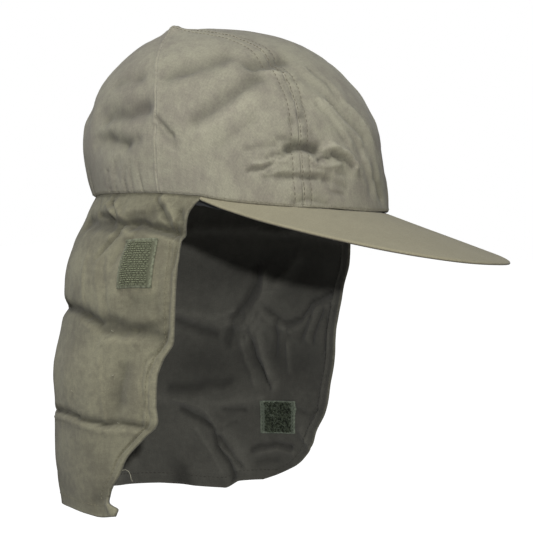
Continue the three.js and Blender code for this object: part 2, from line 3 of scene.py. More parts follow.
import bpy
import numpy as np
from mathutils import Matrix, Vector


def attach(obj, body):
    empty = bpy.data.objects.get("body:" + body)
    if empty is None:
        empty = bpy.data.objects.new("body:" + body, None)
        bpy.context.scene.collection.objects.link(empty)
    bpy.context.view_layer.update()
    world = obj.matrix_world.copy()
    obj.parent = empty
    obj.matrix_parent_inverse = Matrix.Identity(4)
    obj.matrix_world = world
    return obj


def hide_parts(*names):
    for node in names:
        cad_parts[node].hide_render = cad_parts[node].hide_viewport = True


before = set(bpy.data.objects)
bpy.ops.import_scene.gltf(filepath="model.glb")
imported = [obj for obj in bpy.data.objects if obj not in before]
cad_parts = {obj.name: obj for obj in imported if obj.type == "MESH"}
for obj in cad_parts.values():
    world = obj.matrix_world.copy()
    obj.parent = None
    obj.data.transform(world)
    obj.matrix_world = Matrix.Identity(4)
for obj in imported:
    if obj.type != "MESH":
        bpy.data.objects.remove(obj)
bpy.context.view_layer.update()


# ---- Crown: cotton panels ----
# The crown is unlined cotton twill, cut as a centre strip, two side panels and one back panel.
# The strip's seams are stitched and then topstitched on both sides; the side seams are plain.
# It is soft, so it keeps the dents and creases of being folded flat.
CROWN_HALF_LENGTH = 103.5
CROWN_HALF_WIDTH = 84.5
CROWN_HEIGHT = 112.0
CROWN_CLOTH = 1.2

# ring, height, length, width, back: shares of the crown's height and half sizes
CROWN_RINGS = [
    (0.00, 1.000, 0.000, 0.000, 0.290),
    (0.05, 0.996, 0.095, 0.098, 0.262),
    (0.13, 0.975, 0.240, 0.250, 0.220),
    (0.27, 0.915, 0.480, 0.490, 0.155),
    (0.40, 0.815, 0.670, 0.680, 0.115),
    (0.52, 0.680, 0.830, 0.835, 0.088),
    (0.62, 0.545, 0.930, 0.930, 0.075),
    (0.72, 0.400, 0.990, 0.990, 0.062),
    (0.82, 0.250, 1.005, 1.005, 0.045),
    (0.92, 0.110, 1.000, 1.000, 0.020),
    (1.00, 0.000, 0.985, 0.990, -0.010),
]

# The visor's upper face sets how high the crown's rim stands in front.
VISOR_SLOPE = math.tan(math.radians(17))
VISOR_REACH = 90.0
VISOR_ARCH = 13.5
ARCH_HALF_WIDTH = 80
ARCH_LOST = 0.365
VISOR_LEAN = 0.06
VISOR_LOW = 6.3
VISOR_END = 71.0


def visor_top(x, y):
    """Height of the visor's upper face over a place in plan."""
    forward = -y - CROWN_HALF_LENGTH
    fade = 1 - ARCH_LOST * np.clip(forward / VISOR_REACH, -0.6, 1)
    arch = VISOR_ARCH * (x / ARCH_HALF_WIDTH) ** 2 * fade
    return -VISOR_SLOPE * forward - arch - VISOR_LEAN * x - VISOR_LOW


def read_rows(rows, column, at):
    """Reads a smooth curve through one column of a table, with no overshoot between its rows."""
    keys = np.array([row[0] for row in rows])
    values = np.array([row[column] for row in rows])
    slopes = np.diff(values) / np.diff(keys)
    before, after = slopes[:-1], slopes[1:]
    same_way = before * after > 0
    inner = np.where(same_way, 2 * before * after / np.where(same_way, before + after, 1), 0)
    tangents = np.concatenate([slopes[:1], inner, slopes[-1:]])
    place = np.clip(at, keys[0], keys[-1])
    low = np.clip(np.searchsorted(keys, place, side="right") - 1, 0, len(keys) - 2)
    width = keys[low + 1] - keys[low]
    t = (place - keys[low]) / width
    rest = 1 - t
    start = values[low] * rest * rest * (1 + 2 * t) + tangents[low] * width * t * rest * rest
    end = values[low + 1] * t * t * (3 - 2 * t) - tangents[low + 1] * width * t * t * rest
    return start + end


def rim_plan(angle):
    x = CROWN_HALF_WIDTH * CROWN_RINGS[-1][3] * np.sin(angle)
    y = CROWN_HALF_LENGTH * (CROWN_RINGS[-1][4] - CROWN_RINGS[-1][2] * np.cos(angle))
    return x, y


def rim_over_visor(degrees):
    x, y = rim_plan(np.radians(degrees))
    inward = 1 - 1.6 * CROWN_CLOTH / CROWN_HALF_WIDTH
    return visor_top(x * inward, y * inward) + 0.3


# angle from the front, height of the rim in millimetres
RIM_HEIGHTS = [
    (-180, -1.0), (-150, 1.0), (-120, 4.5), (-90, 6.0),
    (-VISOR_END, float(rim_over_visor(-VISOR_END))),
    (VISOR_END, float(rim_over_visor(VISOR_END))),
    (90, -0.5), (120, 0.5), (150, 0.0), (180, -1.0),
]


def rim_height(angle):
    turned = np.degrees(np.arctan2(np.sin(angle), np.cos(angle)))
    behind = read_rows(RIM_HEIGHTS, 1, turned)
    return np.where(np.abs(turned) < VISOR_END, rim_over_visor(turned), behind)


def dome(x, y):
    """Puts a place of the unfolded crown, a disc of radius 1, on the smooth dome."""
    ring = np.maximum(np.hypot(x, y), 1e-6)
    angle = np.arctan2(x, -y)
    height, length, width, back = (read_rows(CROWN_RINGS, i, ring) for i in (1, 2, 3, 4))
    z = CROWN_HEIGHT * height + rim_height(angle) * (1 - height)
    px = CROWN_HALF_WIDTH * width * np.sin(angle)
    py = CROWN_HALF_LENGTH * (back - length * np.cos(angle))
    return np.stack([px, py, z], -1)


def square_to(surface, u, v, step):
    """The direction square to a surface at (u, v)."""
    along_u = surface(u + step, v) - surface(u - step, v)
    along_v = surface(u, v + step) - surface(u, v - step)
    normal = np.cross(along_u, along_v)
    return normal / np.maximum(np.linalg.norm(normal, axis=-1, keepdims=True), 1e-9)


DISC_STEP = 0.004


def dome_out(x, y):
    """The direction out of the dome."""
    return square_to(dome, x, y, DISC_STEP)


def fold_share(x, y, start, end, width, sharpness=2.0):
    """How much of a fold is felt at a place, by its distance from the fold's line."""
    run = np.array(end) - np.array(start)
    along = ((x - start[0]) * run[0] + (y - start[1]) * run[1]) / max(run @ run, 1e-9)
    near = np.clip(along, 0, 1)
    away = np.hypot(x - start[0] - near * run[0], y - start[1] - near * run[1])
    return np.exp(-((away / width) ** sharpness))


LATTICE_SIZE = 64
LATTICES = {}


def soft_noise(points, size, seed):
    """Smooth noise from -1 to 1 with lumps of about the given size."""
    if seed not in LATTICES:
        LATTICES[seed] = np.random.default_rng(seed).uniform(-1, 1, (LATTICE_SIZE,) * 3)
    scaled = points / size + 1000.5
    cell = np.floor(scaled).astype(int)
    t = scaled - cell
    t = t * t * (3 - 2 * t)
    total = 0
    for corner in np.ndindex(2, 2, 2):
        value = LATTICES[seed][tuple((cell[..., i] + corner[i]) % LATTICE_SIZE for i in range(3))]
        for i in range(3):
            value = value * (t[..., i] if corner[i] else 1 - t[..., i])
        total = total + value
    return total


# The crown's large folds: width on the disc, depth in millimetres, then the angle from the front
# and the ring of each place that the fold runs through. Negative depths stand out.
CROWN_FOLDS = [
    (0.022, 3.4, -36, 0.785, -23, 0.778),
    (0.02, 0.8, -50, 0.87, -37, 0.81),
    (0.024, 1.4, -40, 0.896, -20, 0.892),
    (0.024, -2.0, -17, 0.765, -6, 0.84),
    (0.03, 1.6, -13, 0.81, -10, 0.86),
    (0.045, 3.0, -44, 0.44, -27, 0.45),
    (0.03, 1.8, -31, 0.55, -25, 0.62),
    (0.035, 1.8, -69, 0.7, -38, 0.5),
    (0.05, 1.6, -84, 0.5, -62, 0.45),
    (0.05, 2.4, -118, 0.68, -92, 0.67),
    (0.045, 1.8, -118, 0.785, -101, 0.8),
    (0.022, 1.4, -85, 0.74, -78, 0.8),
    (0.03, 1.2, -20, 0.5, 4, 0.92),
    (0.03, -1.0, -12, 0.48, 12, 0.86),
    (0.03, 1.0, -104, 0.86, -107, 0.92),
    (0.045, 2.4, 30, 0.8, 52, 0.86),
    (0.045, 1.8, 40, 0.5, 74, 0.66),
    (0.05, 2.0, 96, 0.7, 120, 0.78),
    (0.05, 1.8, 165, 0.76, 190, 0.8),
    (0.05, 1.6, 205, 0.6, 228, 0.68),
    (0.045, -3.6, -104, 0.19, -112, 0.17),
    (0.045, -3.0, 104, 0.19, 112, 0.17),
    (0.06, 0.6, -62, 0.2, -40, 0.27),
    (0.07, 1.2, 180, 0.02, 0, 0.02),
]

# Finer creases that the cloth took when it was folded and sewn, written in the same way.
CROWN_CREASES = [
    (0.012, 4.2, -35, 0.783, -31, 0.773, -27, 0.78, -24, 0.786),
    (0.0055, 1.3, -44, 0.822, -39, 0.797, -35, 0.783),
    (0.008, 1.2, -39.5, 0.755, -36, 0.752, -32, 0.758),
    (0.009, 3.0, -23.5, 0.82, -21, 0.806, -18, 0.806),
    (0.01, 3.4, -17, 0.79, -13.5, 0.8, -10, 0.812, -7, 0.835),
    (0.006, -2.2, -22, 0.775, -16, 0.765, -12, 0.778, -8, 0.795, -4.5, 0.84),
    (0.007, -1.8, -27, 0.812, -25, 0.835, -19, 0.842, -13, 0.832),
    (0.006, -1.3, -36, 0.808, -31, 0.8, -28, 0.806),
    (0.01, 1.1, -51, 0.797, -44.5, 0.783, -40, 0.77),
    (0.0065, 1.2, -51.5, 0.876, -46, 0.858, -42, 0.836, -38, 0.808, -34, 0.787),
    (0.007, -1.4, -49, 0.845, -43, 0.83, -37, 0.825),
    (0.007, 0.9, -44, 0.872, -38, 0.857, -33, 0.852),
    (0.012, 1.1, -45.5, 0.897, -37, 0.888, -31, 0.883, -24, 0.882),
    (0.018, 1.3, -22, 0.888, -17, 0.9, -11.5, 0.92),
    (0.009, 2.0, -31, 0.884, -25, 0.882),
    (0.01, -1.0, -42, 0.87, -30, 0.857, -22, 0.862),
    (0.008, 0.9, -16, 0.865, -12, 0.87),
    (0.014, 1.0, -20, 0.93, -13, 0.94),
    (0.013, 2.0, -29, 0.663, -27, 0.667),
    (0.01, 1.2, -33, 0.675, -32.5, 0.69),
    (0.01, 1.0, -28, 0.72, -25, 0.73),
    (0.02, 1.0, -36, 0.985, -29, 0.975, -22, 0.985),
    (0.012, -1.3, -13.5, 0.613, -7.5, 0.683, 0.5, 0.75),
    (0.012, 1.3, -11, 0.6, -4.5, 0.67, 3.5, 0.74),
    (0.012, -1.2, -4, 0.593, 7, 0.697, 14, 0.81),
    (0.012, 1.1, -1, 0.6, 10, 0.7, 17, 0.82),
    (0.01, -0.8, -17, 0.6, -11.5, 0.68, -6, 0.75),
    (0.01, 0.8, -19, 0.62, -14, 0.69, -9, 0.75),
    (0.016, 1.1, -11, 0.47, -4, 0.593),
    (0.022, 1.8, 7, 0.87, 14.5, 0.95),
    (0.02, -1.2, 1, 0.8, 8, 0.9),
    (0.022, 3.2, -42, 0.455, -38, 0.44, -31.5, 0.43, -22, 0.412),
    (0.013, 1.8, -38, 0.455, -31, 0.46, -28, 0.47),
    (0.012, -1.2, -40, 0.485, -33, 0.49, -27, 0.495),
    (0.01, 1.2, -29, 0.52, -24, 0.525),
    (0.025, 2.2, -69.5, 0.707, -59.5, 0.627, -51.5, 0.567, -42, 0.513),
    (0.025, -1.0, -67, 0.75, -57, 0.67, -48, 0.6),
    (0.03, 2.2, -82.5, 0.52, -73.5, 0.49, -64.5, 0.45, -55, 0.407),
    (0.018, 0.9, -62, 0.8, -54, 0.73, -47, 0.68),
    (0.03, 1.8, -113.5, 0.547, -98, 0.523),
    (0.028, 2.8, -113, 0.687, -99, 0.68, -90.5, 0.652),
    (0.024, 2.0, -115.5, 0.777, -99.5, 0.8, -93, 0.785),
    (0.011, 2.0, -85, 0.697, -81, 0.737, -78, 0.763),
    (0.007, 0.9, -94, 0.88, -95, 1.0),
    (0.007, 0.8, -98, 0.87, -100, 1.0),
    (0.008, 1.1, -101, 0.89, -104, 1.0),
    (0.008, 0.8, -107, 0.87, -110, 1.0),
    (0.008, 0.7, -112, 0.9, -114, 1.0),
    (0.01, 0.8, 110, 0.9, 112, 1.0),
    (0.01, 0.8, 150, 0.9, 149, 1.0),
    (0.01, 0.9, 200, 0.88, 202, 1.0),
    (0.01, 0.9, 228, 0.9, 226, 1.0),
    (0.016, 1.4, 33, 0.79, 45, 0.8, 58, 0.82),
    (0.018, 1.6, 36, 0.45, 48, 0.47, 60, 0.52),
    (0.022, 1.4, 70, 0.7, 88, 0.66, 104, 0.7),
    (0.024, 1.6, 140, 0.7, 160, 0.74, 178, 0.72),
]

# along the seam from the rim, x and y on the disc
STRIP_EDGE = [
    (0.00, 0.530, -0.848), (0.20, 0.400, -0.670), (0.36, 0.290, -0.520), (0.52, 0.215, -0.360),
    (0.66, 0.180, -0.220), (0.82, 0.160, -0.080), (1.00, 0.150, 0.050),
]
SIDE_SEAM = [
    (0.00, 0.9986, -0.052), (0.04, 0.965, -0.055), (0.20, 0.820, -0.071), (0.34, 0.710, -0.062),
    (0.50, 0.560, -0.025), (0.66, 0.430, 0.020), (0.86, 0.260, 0.050), (1.00, 0.150, 0.050),
]
STRIP_FOOT = np.array(STRIP_EDGE[0][1:])
SEAM_FOOT = np.array(SIDE_SEAM[0][1:])
FOOT_ANGLE = math.atan2(STRIP_FOOT[0], -STRIP_FOOT[1])
SEAM_ANGLE = math.atan2(SEAM_FOOT[0], -SEAM_FOOT[1])


def seam_line(rows, side):
    along = np.linspace(0, 1, 240)
    return np.stack([side * read_rows(rows, 1, along), read_rows(rows, 2, along)], -1)


SEAM_BATCH = 20000


def seam_distance(points, lines):
    """Distance in millimetres from each point to the nearest of the seams, and how far along."""
    flat = points.reshape(-1, 3)
    best = np.full(len(flat), 1e9)
    along = np.zeros(len(flat))
    for line in lines:
        placed = dome(line[:, 0], line[:, 1])
        steps = np.linalg.norm(np.diff(placed, axis=0), axis=1)
        lengths = np.concatenate([[0], np.cumsum(steps)])
        for first in range(0, len(flat), SEAM_BATCH):
            part = slice(first, first + SEAM_BATCH)
            gaps = np.linalg.norm(flat[part, None, :] - placed[None, ::2, :], axis=-1)
            closer = gaps.min(1) < best[part]
            best[part] = np.where(closer, gaps.min(1), best[part])
            along[part] = np.where(closer, lengths[::2][gaps.argmin(1)], along[part])
    return best.reshape(points.shape[:-1]), along.reshape(points.shape[:-1])


STRIP_LINES = [seam_line(STRIP_EDGE, -1), seam_line(STRIP_EDGE, 1)]
REAR_X, REAR_Y = STRIP_EDGE[-1][1:]
REAR_EDGE = np.stack([np.linspace(-REAR_X, REAR_X, 60), np.full(60, REAR_Y)], -1)
PLAIN_LINES = [seam_line(SIDE_SEAM, -1), seam_line(SIDE_SEAM, 1), REAR_EDGE]


def joined(depths):
    """Adds folds so that where two of them meet they run on without a pit or a bump."""
    dents = sum(np.maximum(d, 0) ** 3 for d in depths)
    ridges = sum(np.maximum(-d, 0) ** 3 for d in depths)
    return np.cbrt(dents) - np.cbrt(ridges)


def folds_at(x, y, folds, place, sharpness=2.0):
    """The depth of a table of folds; place puts a pair of numbers from the table on the chart."""
    depths = []
    for width, deep, *through in folds:
        ends = [place(*pair) for pair in zip(through[::2], through[1::2])]
        shares = [fold_share(x, y, *pair, width, sharpness) for pair in zip(ends, ends[1:])]
        depths.append(deep * np.max(shares, axis=0))
    return joined(depths)


def on_disc(degrees, ring):
    angle = math.radians(degrees)
    return ring * math.sin(angle), -ring * math.cos(angle)


def wandering(points, reach, seed):
    """A small sideways drift, so that creases run unevenly as they do in real cloth."""
    return reach * soft_noise(points, 9, seed) + 0.45 * reach * soft_noise(points, 3.5, seed + 1)


def crown_creases(x, y):
    points = dome(x, y)
    x, y = x + wandering(points, 0.006, 51), y + wandering(points, 0.006, 53)
    return folds_at(x, y, CROWN_CREASES, on_disc, 1.45) * (1 + 0.45 * soft_noise(points, 9, 55))


CROWN_ARC = 154.0


def above_rim(x, y):
    """How far a place is from the crown's lower edge, along the cloth, in millimetres."""
    return (1 - np.hypot(x, y)) * CROWN_ARC


# What a seam does to the cloth beside it: distance from the seam and width in millimetres,
# sharpness, depth in millimetres. The third row of the strip's is the groove of its topstitching.
STRIP_SEAM = [(0.0, 0.8, 2, 1.2), (0.0, 6.2, 6, -0.5), (5.3, 0.9, 2, 0.55)]
PLAIN_SEAM = [(0.0, 0.7, 2, 0.9), (0.0, 2.0, 2, -0.9)]
RIM_TURN, RIM_TURN_DEPTH = 2.2, 0.9


def seam_dent(gap, rows):
    return sum(deep * np.exp(-(((gap - away) / width) ** power)) for away, width, power, deep in rows)


def crown_dent(x, y):
    """All that moves the crown's cloth off the smooth dome, in millimetres toward the head."""
    points = dome(x, y)
    depth = folds_at(x, y, CROWN_FOLDS, on_disc) + 1.15 * crown_creases(x, y)
    depth = depth + 0.7 * soft_noise(points, 24, 3) + 0.28 * soft_noise(points, 9, 4)
    strip, along = seam_distance(points, STRIP_LINES)
    plain, _ = seam_distance(points, PLAIN_LINES)
    pucker = soft_noise(np.stack([along, along * 0, along * 0], -1), 5.5, 6)
    depth = depth + seam_dent(strip, STRIP_SEAM) + seam_dent(plain, PLAIN_SEAM)
    depth = depth + 0.6 * pucker * np.exp(-((strip / 6.5) ** 2))
    return depth + RIM_TURN_DEPTH * np.maximum(1 - above_rim(x, y) / RIM_TURN, 0) ** 2


def crown_surface(x, y):
    """A place on the crown's outer face."""
    return dome(x, y) - dome_out(x, y) * crown_dent(x, y)[..., None]


MM = 0.001


def new_object(name, data):
    thing = bpy.data.objects.new(name, data)
    bpy.context.scene.collection.objects.link(thing)
    return thing


def turn_outward(mesh):
    """Flips every face where the mesh's volume comes out negative."""
    volume = 0.0
    for face in mesh.polygons:
        corners = [mesh.vertices[i].co for i in face.vertices]
        for i in range(1, len(corners) - 1):
            volume += corners[0].dot(corners[i].cross(corners[i + 1]))
    if volume < 0:
        mesh.flip_normals()


def new_piece(name, points, faces):
    """A smooth closed piece from points in millimetres and faces."""
    mesh = bpy.data.meshes.new(name)
    mesh.from_pydata((points * MM).tolist(), [], faces)
    mesh.validate()
    turn_outward(mesh)
    mesh.shade_smooth()
    return new_object(name, mesh)


def fit(piece, material, node=None):
    """Gives a piece its material and body, and hides the part of the node that it stands for, if there is
    one.
    """
    piece.data.materials.append(material)
    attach(piece, "root")
    if node:
        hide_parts(node)


def cloth_shell(name, outer, inner, marks, rounding=0.0, wraps=False):
    """Joins an outer and an inner grid of points into one closed mesh, with marks per point."""
    rows, columns = outer.shape[:2]
    count = rows * columns
    index = np.arange(count).reshape(rows, columns)
    across = index if not wraps else np.concatenate([index, index[:, :1]], 1)
    a, b = across[:-1, :-1].ravel(), across[:-1, 1:].ravel()
    c, d = across[1:, 1:].ravel(), across[1:, :-1].ravel()
    faces = [np.stack([a, b, c, d], -1), np.stack([a, d, c, b], -1) + count]
    points = [outer.reshape(-1, 3), inner.reshape(-1, 3)]
    loops = [index[0], index[-1][::-1]] if wraps else [
        np.concatenate([index[0, :-1], index[:-1, -1], index[-1, :0:-1], index[:0:-1, 0]])]
    middle = 0.5 * (outer + inner)
    total = 2 * count
    for loop in loops:
        r, q = np.divmod(loop, columns)
        inside = middle[np.clip(r, 1, rows - 2), q if wraps else np.clip(q, 1, columns - 2)]
        edge = middle[r, q]
        away = edge - inside
        away /= np.maximum(np.linalg.norm(away, axis=1, keepdims=True), 1e-9)
        thick = np.linalg.norm(outer[r, q] - inner[r, q], axis=1, keepdims=True)
        points.append(edge + away * thick * rounding)
        ring = total + np.arange(len(loop))
        after, ring_after = np.roll(loop, -1), np.roll(ring, -1)
        faces.append(np.stack([after, loop, ring, ring_after], -1))
        faces.append(np.stack([ring_after, ring, loop + count, after + count], -1))
        total += len(loop)
    piece = new_piece(name, np.concatenate(points), np.concatenate(faces).tolist())
    for mark, values in marks.items():
        faces_of = values if isinstance(values, tuple) else (values, values)
        flat = [face.reshape(count, -1) for face in faces_of]
        whole = np.concatenate(flat + [0.5 * (flat[0][loop] + flat[1][loop]) for loop in loops])
        kind = "FLOAT" if whole.shape[1] == 1 else "FLOAT_VECTOR"
        data = piece.data.attributes.new(mark, kind, "POINT").data
        data.foreach_set("value" if kind == "FLOAT" else "vector", whole.astype(np.float32).ravel())
    return piece


def grid(columns, rows, ends=0.8, wraps=False):
    """A grid of two shares from 0 to 1 whose cells are closer near the edges."""
    across = np.linspace(0, 1, columns + 1)[:-1] if wraps else np.linspace(0, 1, columns + 1)
    down = np.linspace(0, 1, rows + 1)
    close = lambda t, amount: t - amount * np.sin(2 * np.pi * t) / (2 * np.pi)
    return np.meshgrid(across if wraps else close(across, ends), close(down, ends))


def mix(a, b, share):
    return a + (b - a) * share


PANEL_GAP = 0.0003
POINTED_END = 0.985
REAR_SHARE = 0.2


def strip_place(u, v):
    side = 2 * u - 1
    x = side * (read_rows(STRIP_EDGE, 1, v) - PANEL_GAP)
    bow = (1 - v) * (-np.cos(side * FOOT_ANGLE) - STRIP_FOOT[1])
    return x, read_rows(STRIP_EDGE, 2, v) - v * PANEL_GAP + bow


def side_place(side, u, v):
    along = np.minimum(v, POINTED_END)
    front = read_rows(STRIP_EDGE, 1, along) + PANEL_GAP, read_rows(STRIP_EDGE, 2, along)
    seam = read_rows(SIDE_SEAM, 1, along), read_rows(SIDE_SEAM, 2, along) - PANEL_GAP
    angle = mix(FOOT_ANGLE, SEAM_ANGLE, u)
    bow_x = (1 - v) * (np.sin(angle) - mix(STRIP_FOOT[0], SEAM_FOOT[0], u))
    bow_y = (1 - v) * (-np.cos(angle) - mix(STRIP_FOOT[1], SEAM_FOOT[1], u))
    return side * (mix(front[0], seam[0], u) + bow_x), mix(front[1], seam[1], u) + bow_y


def back_place(u, v):
    side = 2 * u - 1
    share = np.abs(side)
    along = np.minimum((1 - share) / (1 - REAR_SHARE), 1)
    on_strip = np.minimum(share / REAR_SHARE, 1)
    front_x = np.sign(side) * read_rows(SIDE_SEAM, 1, along) * on_strip
    front_y = read_rows(SIDE_SEAM, 2, along) + PANEL_GAP
    angle = np.sign(side) * np.minimum(share, POINTED_END) * (math.pi - SEAM_ANGLE)
    down = v * (1 + 0.3 * (1 - v))
    return mix(front_x, np.sin(angle), down), mix(front_y, np.cos(angle), down)


def crown_panel(name, place, columns, rows):
    x, y = place(*grid(columns, rows))
    outer = crown_surface(x, y)
    inner = outer - dome_out(x, y) * CROWN_CLOTH
    strip, _ = seam_distance(outer, STRIP_LINES)
    plain, _ = seam_distance(outer, PLAIN_LINES)
    edge = np.minimum(np.minimum(strip, plain), above_rim(x, y))
    cloth = np.stack([x * CROWN_HALF_LENGTH, y * CROWN_HALF_LENGTH, edge], -1)
    # Fold depth as a mark for painted shade in the outer face's fold valleys and painted highlight on its
    # ridges; the inner face gets none.
    crease_shade = 0.3 * folds_at(x, y, CROWN_FOLDS, on_disc) + crown_creases(x, y)
    marks = {"cloth": cloth, "crease_shade": (crease_shade, crease_shade * 0)}
    piece = cloth_shell("cap_crown_" + name, outer, inner, marks, rounding=0.4)
    fit(piece, SHELL, "crown_" + name)


class Nodes:
    """Adds shader nodes to a tree and joins them."""

    def __init__(self, tree):
        self.tree = tree

    def feed(self, node, inputs):
        """Joins a node's inputs to the sockets given, or sets them to the values given."""
        for key, value in inputs.items():
            if isinstance(value, bpy.types.NodeSocket):
                self.tree.links.new(value, node.inputs[key])
            else:
                node.inputs[key].default_value = value
        return node

    def add(self, kind, inputs=None, **settings):
        node = self.tree.nodes.new(kind)
        for key, value in settings.items():
            setattr(node, key, value)
        return self.feed(node, inputs or {})

    def mark(self, name, output="Fac"):
        return self.add("ShaderNodeAttribute", attribute_name=name).outputs[output]

    def math(self, operation, a, b=0.0, c=0.0):
        return self.add("ShaderNodeMath", {0: a, 1: b, 2: c}, operation=operation).outputs[0]

    def noise(self, vector, scale, detail=2.0, rough=0.5):
        inputs = {"Vector": vector, "Scale": scale, "Detail": detail, "Roughness": rough}
        return self.add("ShaderNodeTexNoise", inputs).outputs["Fac"]

    def span(self, value, low, high, to_low=0.0, to_high=1.0):
        inputs = {0: value, 1: low, 2: high, 3: to_low, 4: to_high}
        return self.add("ShaderNodeMapRange", inputs, interpolation_type="SMOOTHSTEP").outputs[0]

    def blend(self, share, a, b, kind="MIX"):
        inputs = {0: share, 6: a, 7: b}
        return self.add("ShaderNodeMix", inputs, data_type="RGBA", blend_type=kind).outputs[2]

    def grey(self, share):
        return self.add("ShaderNodeCombineColor", {0: share, 1: share, 2: share}).outputs[0]

    def scaled(self, vector, by):
        return self.add("ShaderNodeVectorMath", {0: vector, 1: by}, operation="MULTIPLY").outputs[0]


def linear(red, green, blue):
    """A colour as seen, from 0 to 255, in the linear values that shaders take."""
    turn = lambda c: c / 12.92 if c <= 0.04045 else ((c + 0.055) / 1.055) ** 2.4
    return (*(turn(c / 255) for c in (red, green, blue)), 1.0)


def cloth_group():
    """Woven cotton: yarns that pass over and under, uneven dye, edges worn paler, and painted shade in fold
    valleys with painted highlight on fold ridges.
    """
    group = bpy.data.node_groups.new("Woven cotton", "ShaderNodeTree")
    for way, kind, names in (
        ("INPUT", "NodeSocketColor", ("Color", "Faded", "Deep")),
        ("INPUT", "NodeSocketFloat", ("Pitch", "Wear", "Blotches")),
        ("OUTPUT", "NodeSocketColor", ("Color",)),
        ("OUTPUT", "NodeSocketFloat", ("Roughness", "Height")),
    ):
        for name in names:
            group.interface.new_socket(name=name, in_out=way, socket_type=kind)
    n = Nodes(group)
    given = group.nodes.new("NodeGroupInput").outputs
    cloth = n.mark("cloth", "Vector")
    parts = n.add("ShaderNodeSeparateXYZ", {0: cloth}).outputs
    turn = n.math("DIVIDE", 2 * math.pi, given["Pitch"])
    warp = n.math("SINE", n.math("MULTIPLY", parts[0], turn))
    weft = n.math("SINE", n.math("MULTIPLY", parts[1], turn))
    weave = n.math("MULTIPLY_ADD", n.math("MULTIPLY", warp, weft), 0.5, 0.5)
    across = n.noise(n.scaled(cloth, (2.4, 0.12, 0.0)), 1.0, 2.0)
    along = n.noise(n.scaled(cloth, (0.12, 2.4, 0.0)), 1.0, 2.0)
    slubs = n.math("MULTIPLY", n.math("ADD", across, along), 0.5)
    flat = n.scaled(cloth, (1.0, 1.0, 0.0))
    broad = n.noise(flat, 0.035, 3.0, 0.55)
    small = n.noise(flat, 0.22, 3.0, 0.6)
    patch = n.math("ADD", n.math("MULTIPLY", broad, 0.6), n.math("MULTIPLY", small, 0.4))
    uneven = n.math("MULTIPLY", n.span(patch, 0.36, 0.64), given["Blotches"])
    color = n.blend(uneven, given["Color"], given["Deep"])
    yarn = n.math("MULTIPLY_ADD", n.math("SUBTRACT", slubs, 0.5), 0.45, 1.0)
    grain = n.noise(flat, 1.1, 3.0, 0.7)
    yarn = n.math("MULTIPLY_ADD", n.math("SUBTRACT", grain, 0.5), 0.62, yarn)
    speck = n.math("MULTIPLY_ADD", n.math("SUBTRACT", weave, 0.5), 0.14, yarn)
    # Painted shade and highlight: the fold-depth mark darkens the cloth in fold valleys and lightens it on
    # fold ridges.
    speck = n.math("MULTIPLY", speck, n.span(n.mark("crease_shade"), -2.4, 3.6, 1.24, 0.54))
    color = n.blend(1.0, color, n.grey(speck), "MULTIPLY")
    near = n.span(parts[2], 0.2, 2.4, 1.0, 0.0)
    rubbed = n.math("MULTIPLY", near, n.span(n.noise(flat, 0.5, 2.0), 0.35, 0.62))
    color = n.blend(n.math("MULTIPLY", rubbed, given["Wear"]), color, given["Faded"])
    n.add("NodeGroupOutput", {
        "Color": color,
        "Roughness": n.math("MULTIPLY_ADD", slubs, 0.12, 0.82),
        "Height": n.math("MULTIPLY_ADD", slubs, 0.6, n.math("MULTIPLY", weave, 0.4)),
    })
    return group


COTTON = cloth_group()


def new_material(name):
    material = bpy.data.materials.new(name)
    material.use_nodes = True
    return material, Nodes(material.node_tree), material.node_tree.nodes["Principled BSDF"]


def cotton(name, color, faded, deep, pitch=0.8, wear=0.4, blotches=0.5, inside=None):
    """A cotton material; inside gives the three colors of the face that is marked as lining: the flap's own
    darker lining, and painted shade on the visor's lower face.
    """
    material, n, shader = new_material(name)
    colors = {"Color": linear(*color), "Faded": linear(*faded), "Deep": linear(*deep)}
    if inside:
        lining = n.mark("lining")
        for key, other in zip(colors, inside):
            colors[key] = n.blend(lining, colors[key], linear(*other))
    inputs = {**colors, "Pitch": pitch, "Wear": wear, "Blotches": blotches}
    woven = n.add("ShaderNodeGroup", inputs, node_tree=COTTON).outputs
    bump = n.add("ShaderNodeBump", {"Height": woven["Height"], "Strength": 0.35, "Distance": 0.0004})
    n.feed(shader, {
        "Base Color": woven["Color"], "Roughness": woven["Roughness"], "Normal": bump.outputs[0],
        "Specular IOR Level": 0.25, "Sheen Weight": 0.12, "Sheen Roughness": 0.6,
    })
    return material


SHELL = cotton(
    "Crown cotton", (154, 151, 132), (172, 168, 150), (128, 122, 111), wear=0.35, blotches=0.75,
)
crown_panel("centre", strip_place, 100, 150)
crown_panel("side_right", lambda u, v: side_place(-1, u, v), 130, 150)
crown_panel("side_left", lambda u, v: side_place(1, u[:, ::-1], v), 130, 150)
crown_panel("back", back_place, 200, 90)


# ---- Crown: topstitching ----
# Olive sewing thread in lockstitch. It runs along both edges of each strip seam, next to the seam
# itself, and round the crown's lower edge where the visor and the flap are sewn in.
THREAD = 0.24
SUNK = 0.16

# one stitch: share of its length, height over the cloth and thickness in thread radii
STITCH = np.array([(0.0, -1.6, 0.7), (0.12, 0.2, 1.0), (0.5, 0.75, 1.0), (0.88, 0.2, 1.0), (1.0, -1.6, 0.7)])


def tube(line, side, up, radius, sides=6):
    """Points and faces of a closed round tube, from a line and two directions square to it."""
    turns = np.linspace(0, 2 * np.pi, sides, endpoint=False)[:, None]
    thick = np.reshape(radius, (-1, 1, 1))
    rings = line[:, None] + thick * (np.cos(turns) * side[:, None] + np.sin(turns) * up[:, None])
    last = (len(line) - 1) * sides
    faces = []
    for first in range(0, last, sides):
        for j in range(sides):
            a, b = first + j, first + (j + 1) % sides
            faces.append((a, b, b + sides, a + sides))
    faces += [tuple(reversed(range(sides))), tuple(range(last, last + sides))]
    return rings.reshape(-1, 3), faces


def small_piece(name, parts, material):
    """One piece from several sets of points and faces."""
    points, faces = [], []
    for places, corners in parts:
        faces.extend(tuple(i + len(points) for i in face) for face in corners)
        points.extend(places.tolist())
    fit(new_piece(name, np.array(points), faces), material)


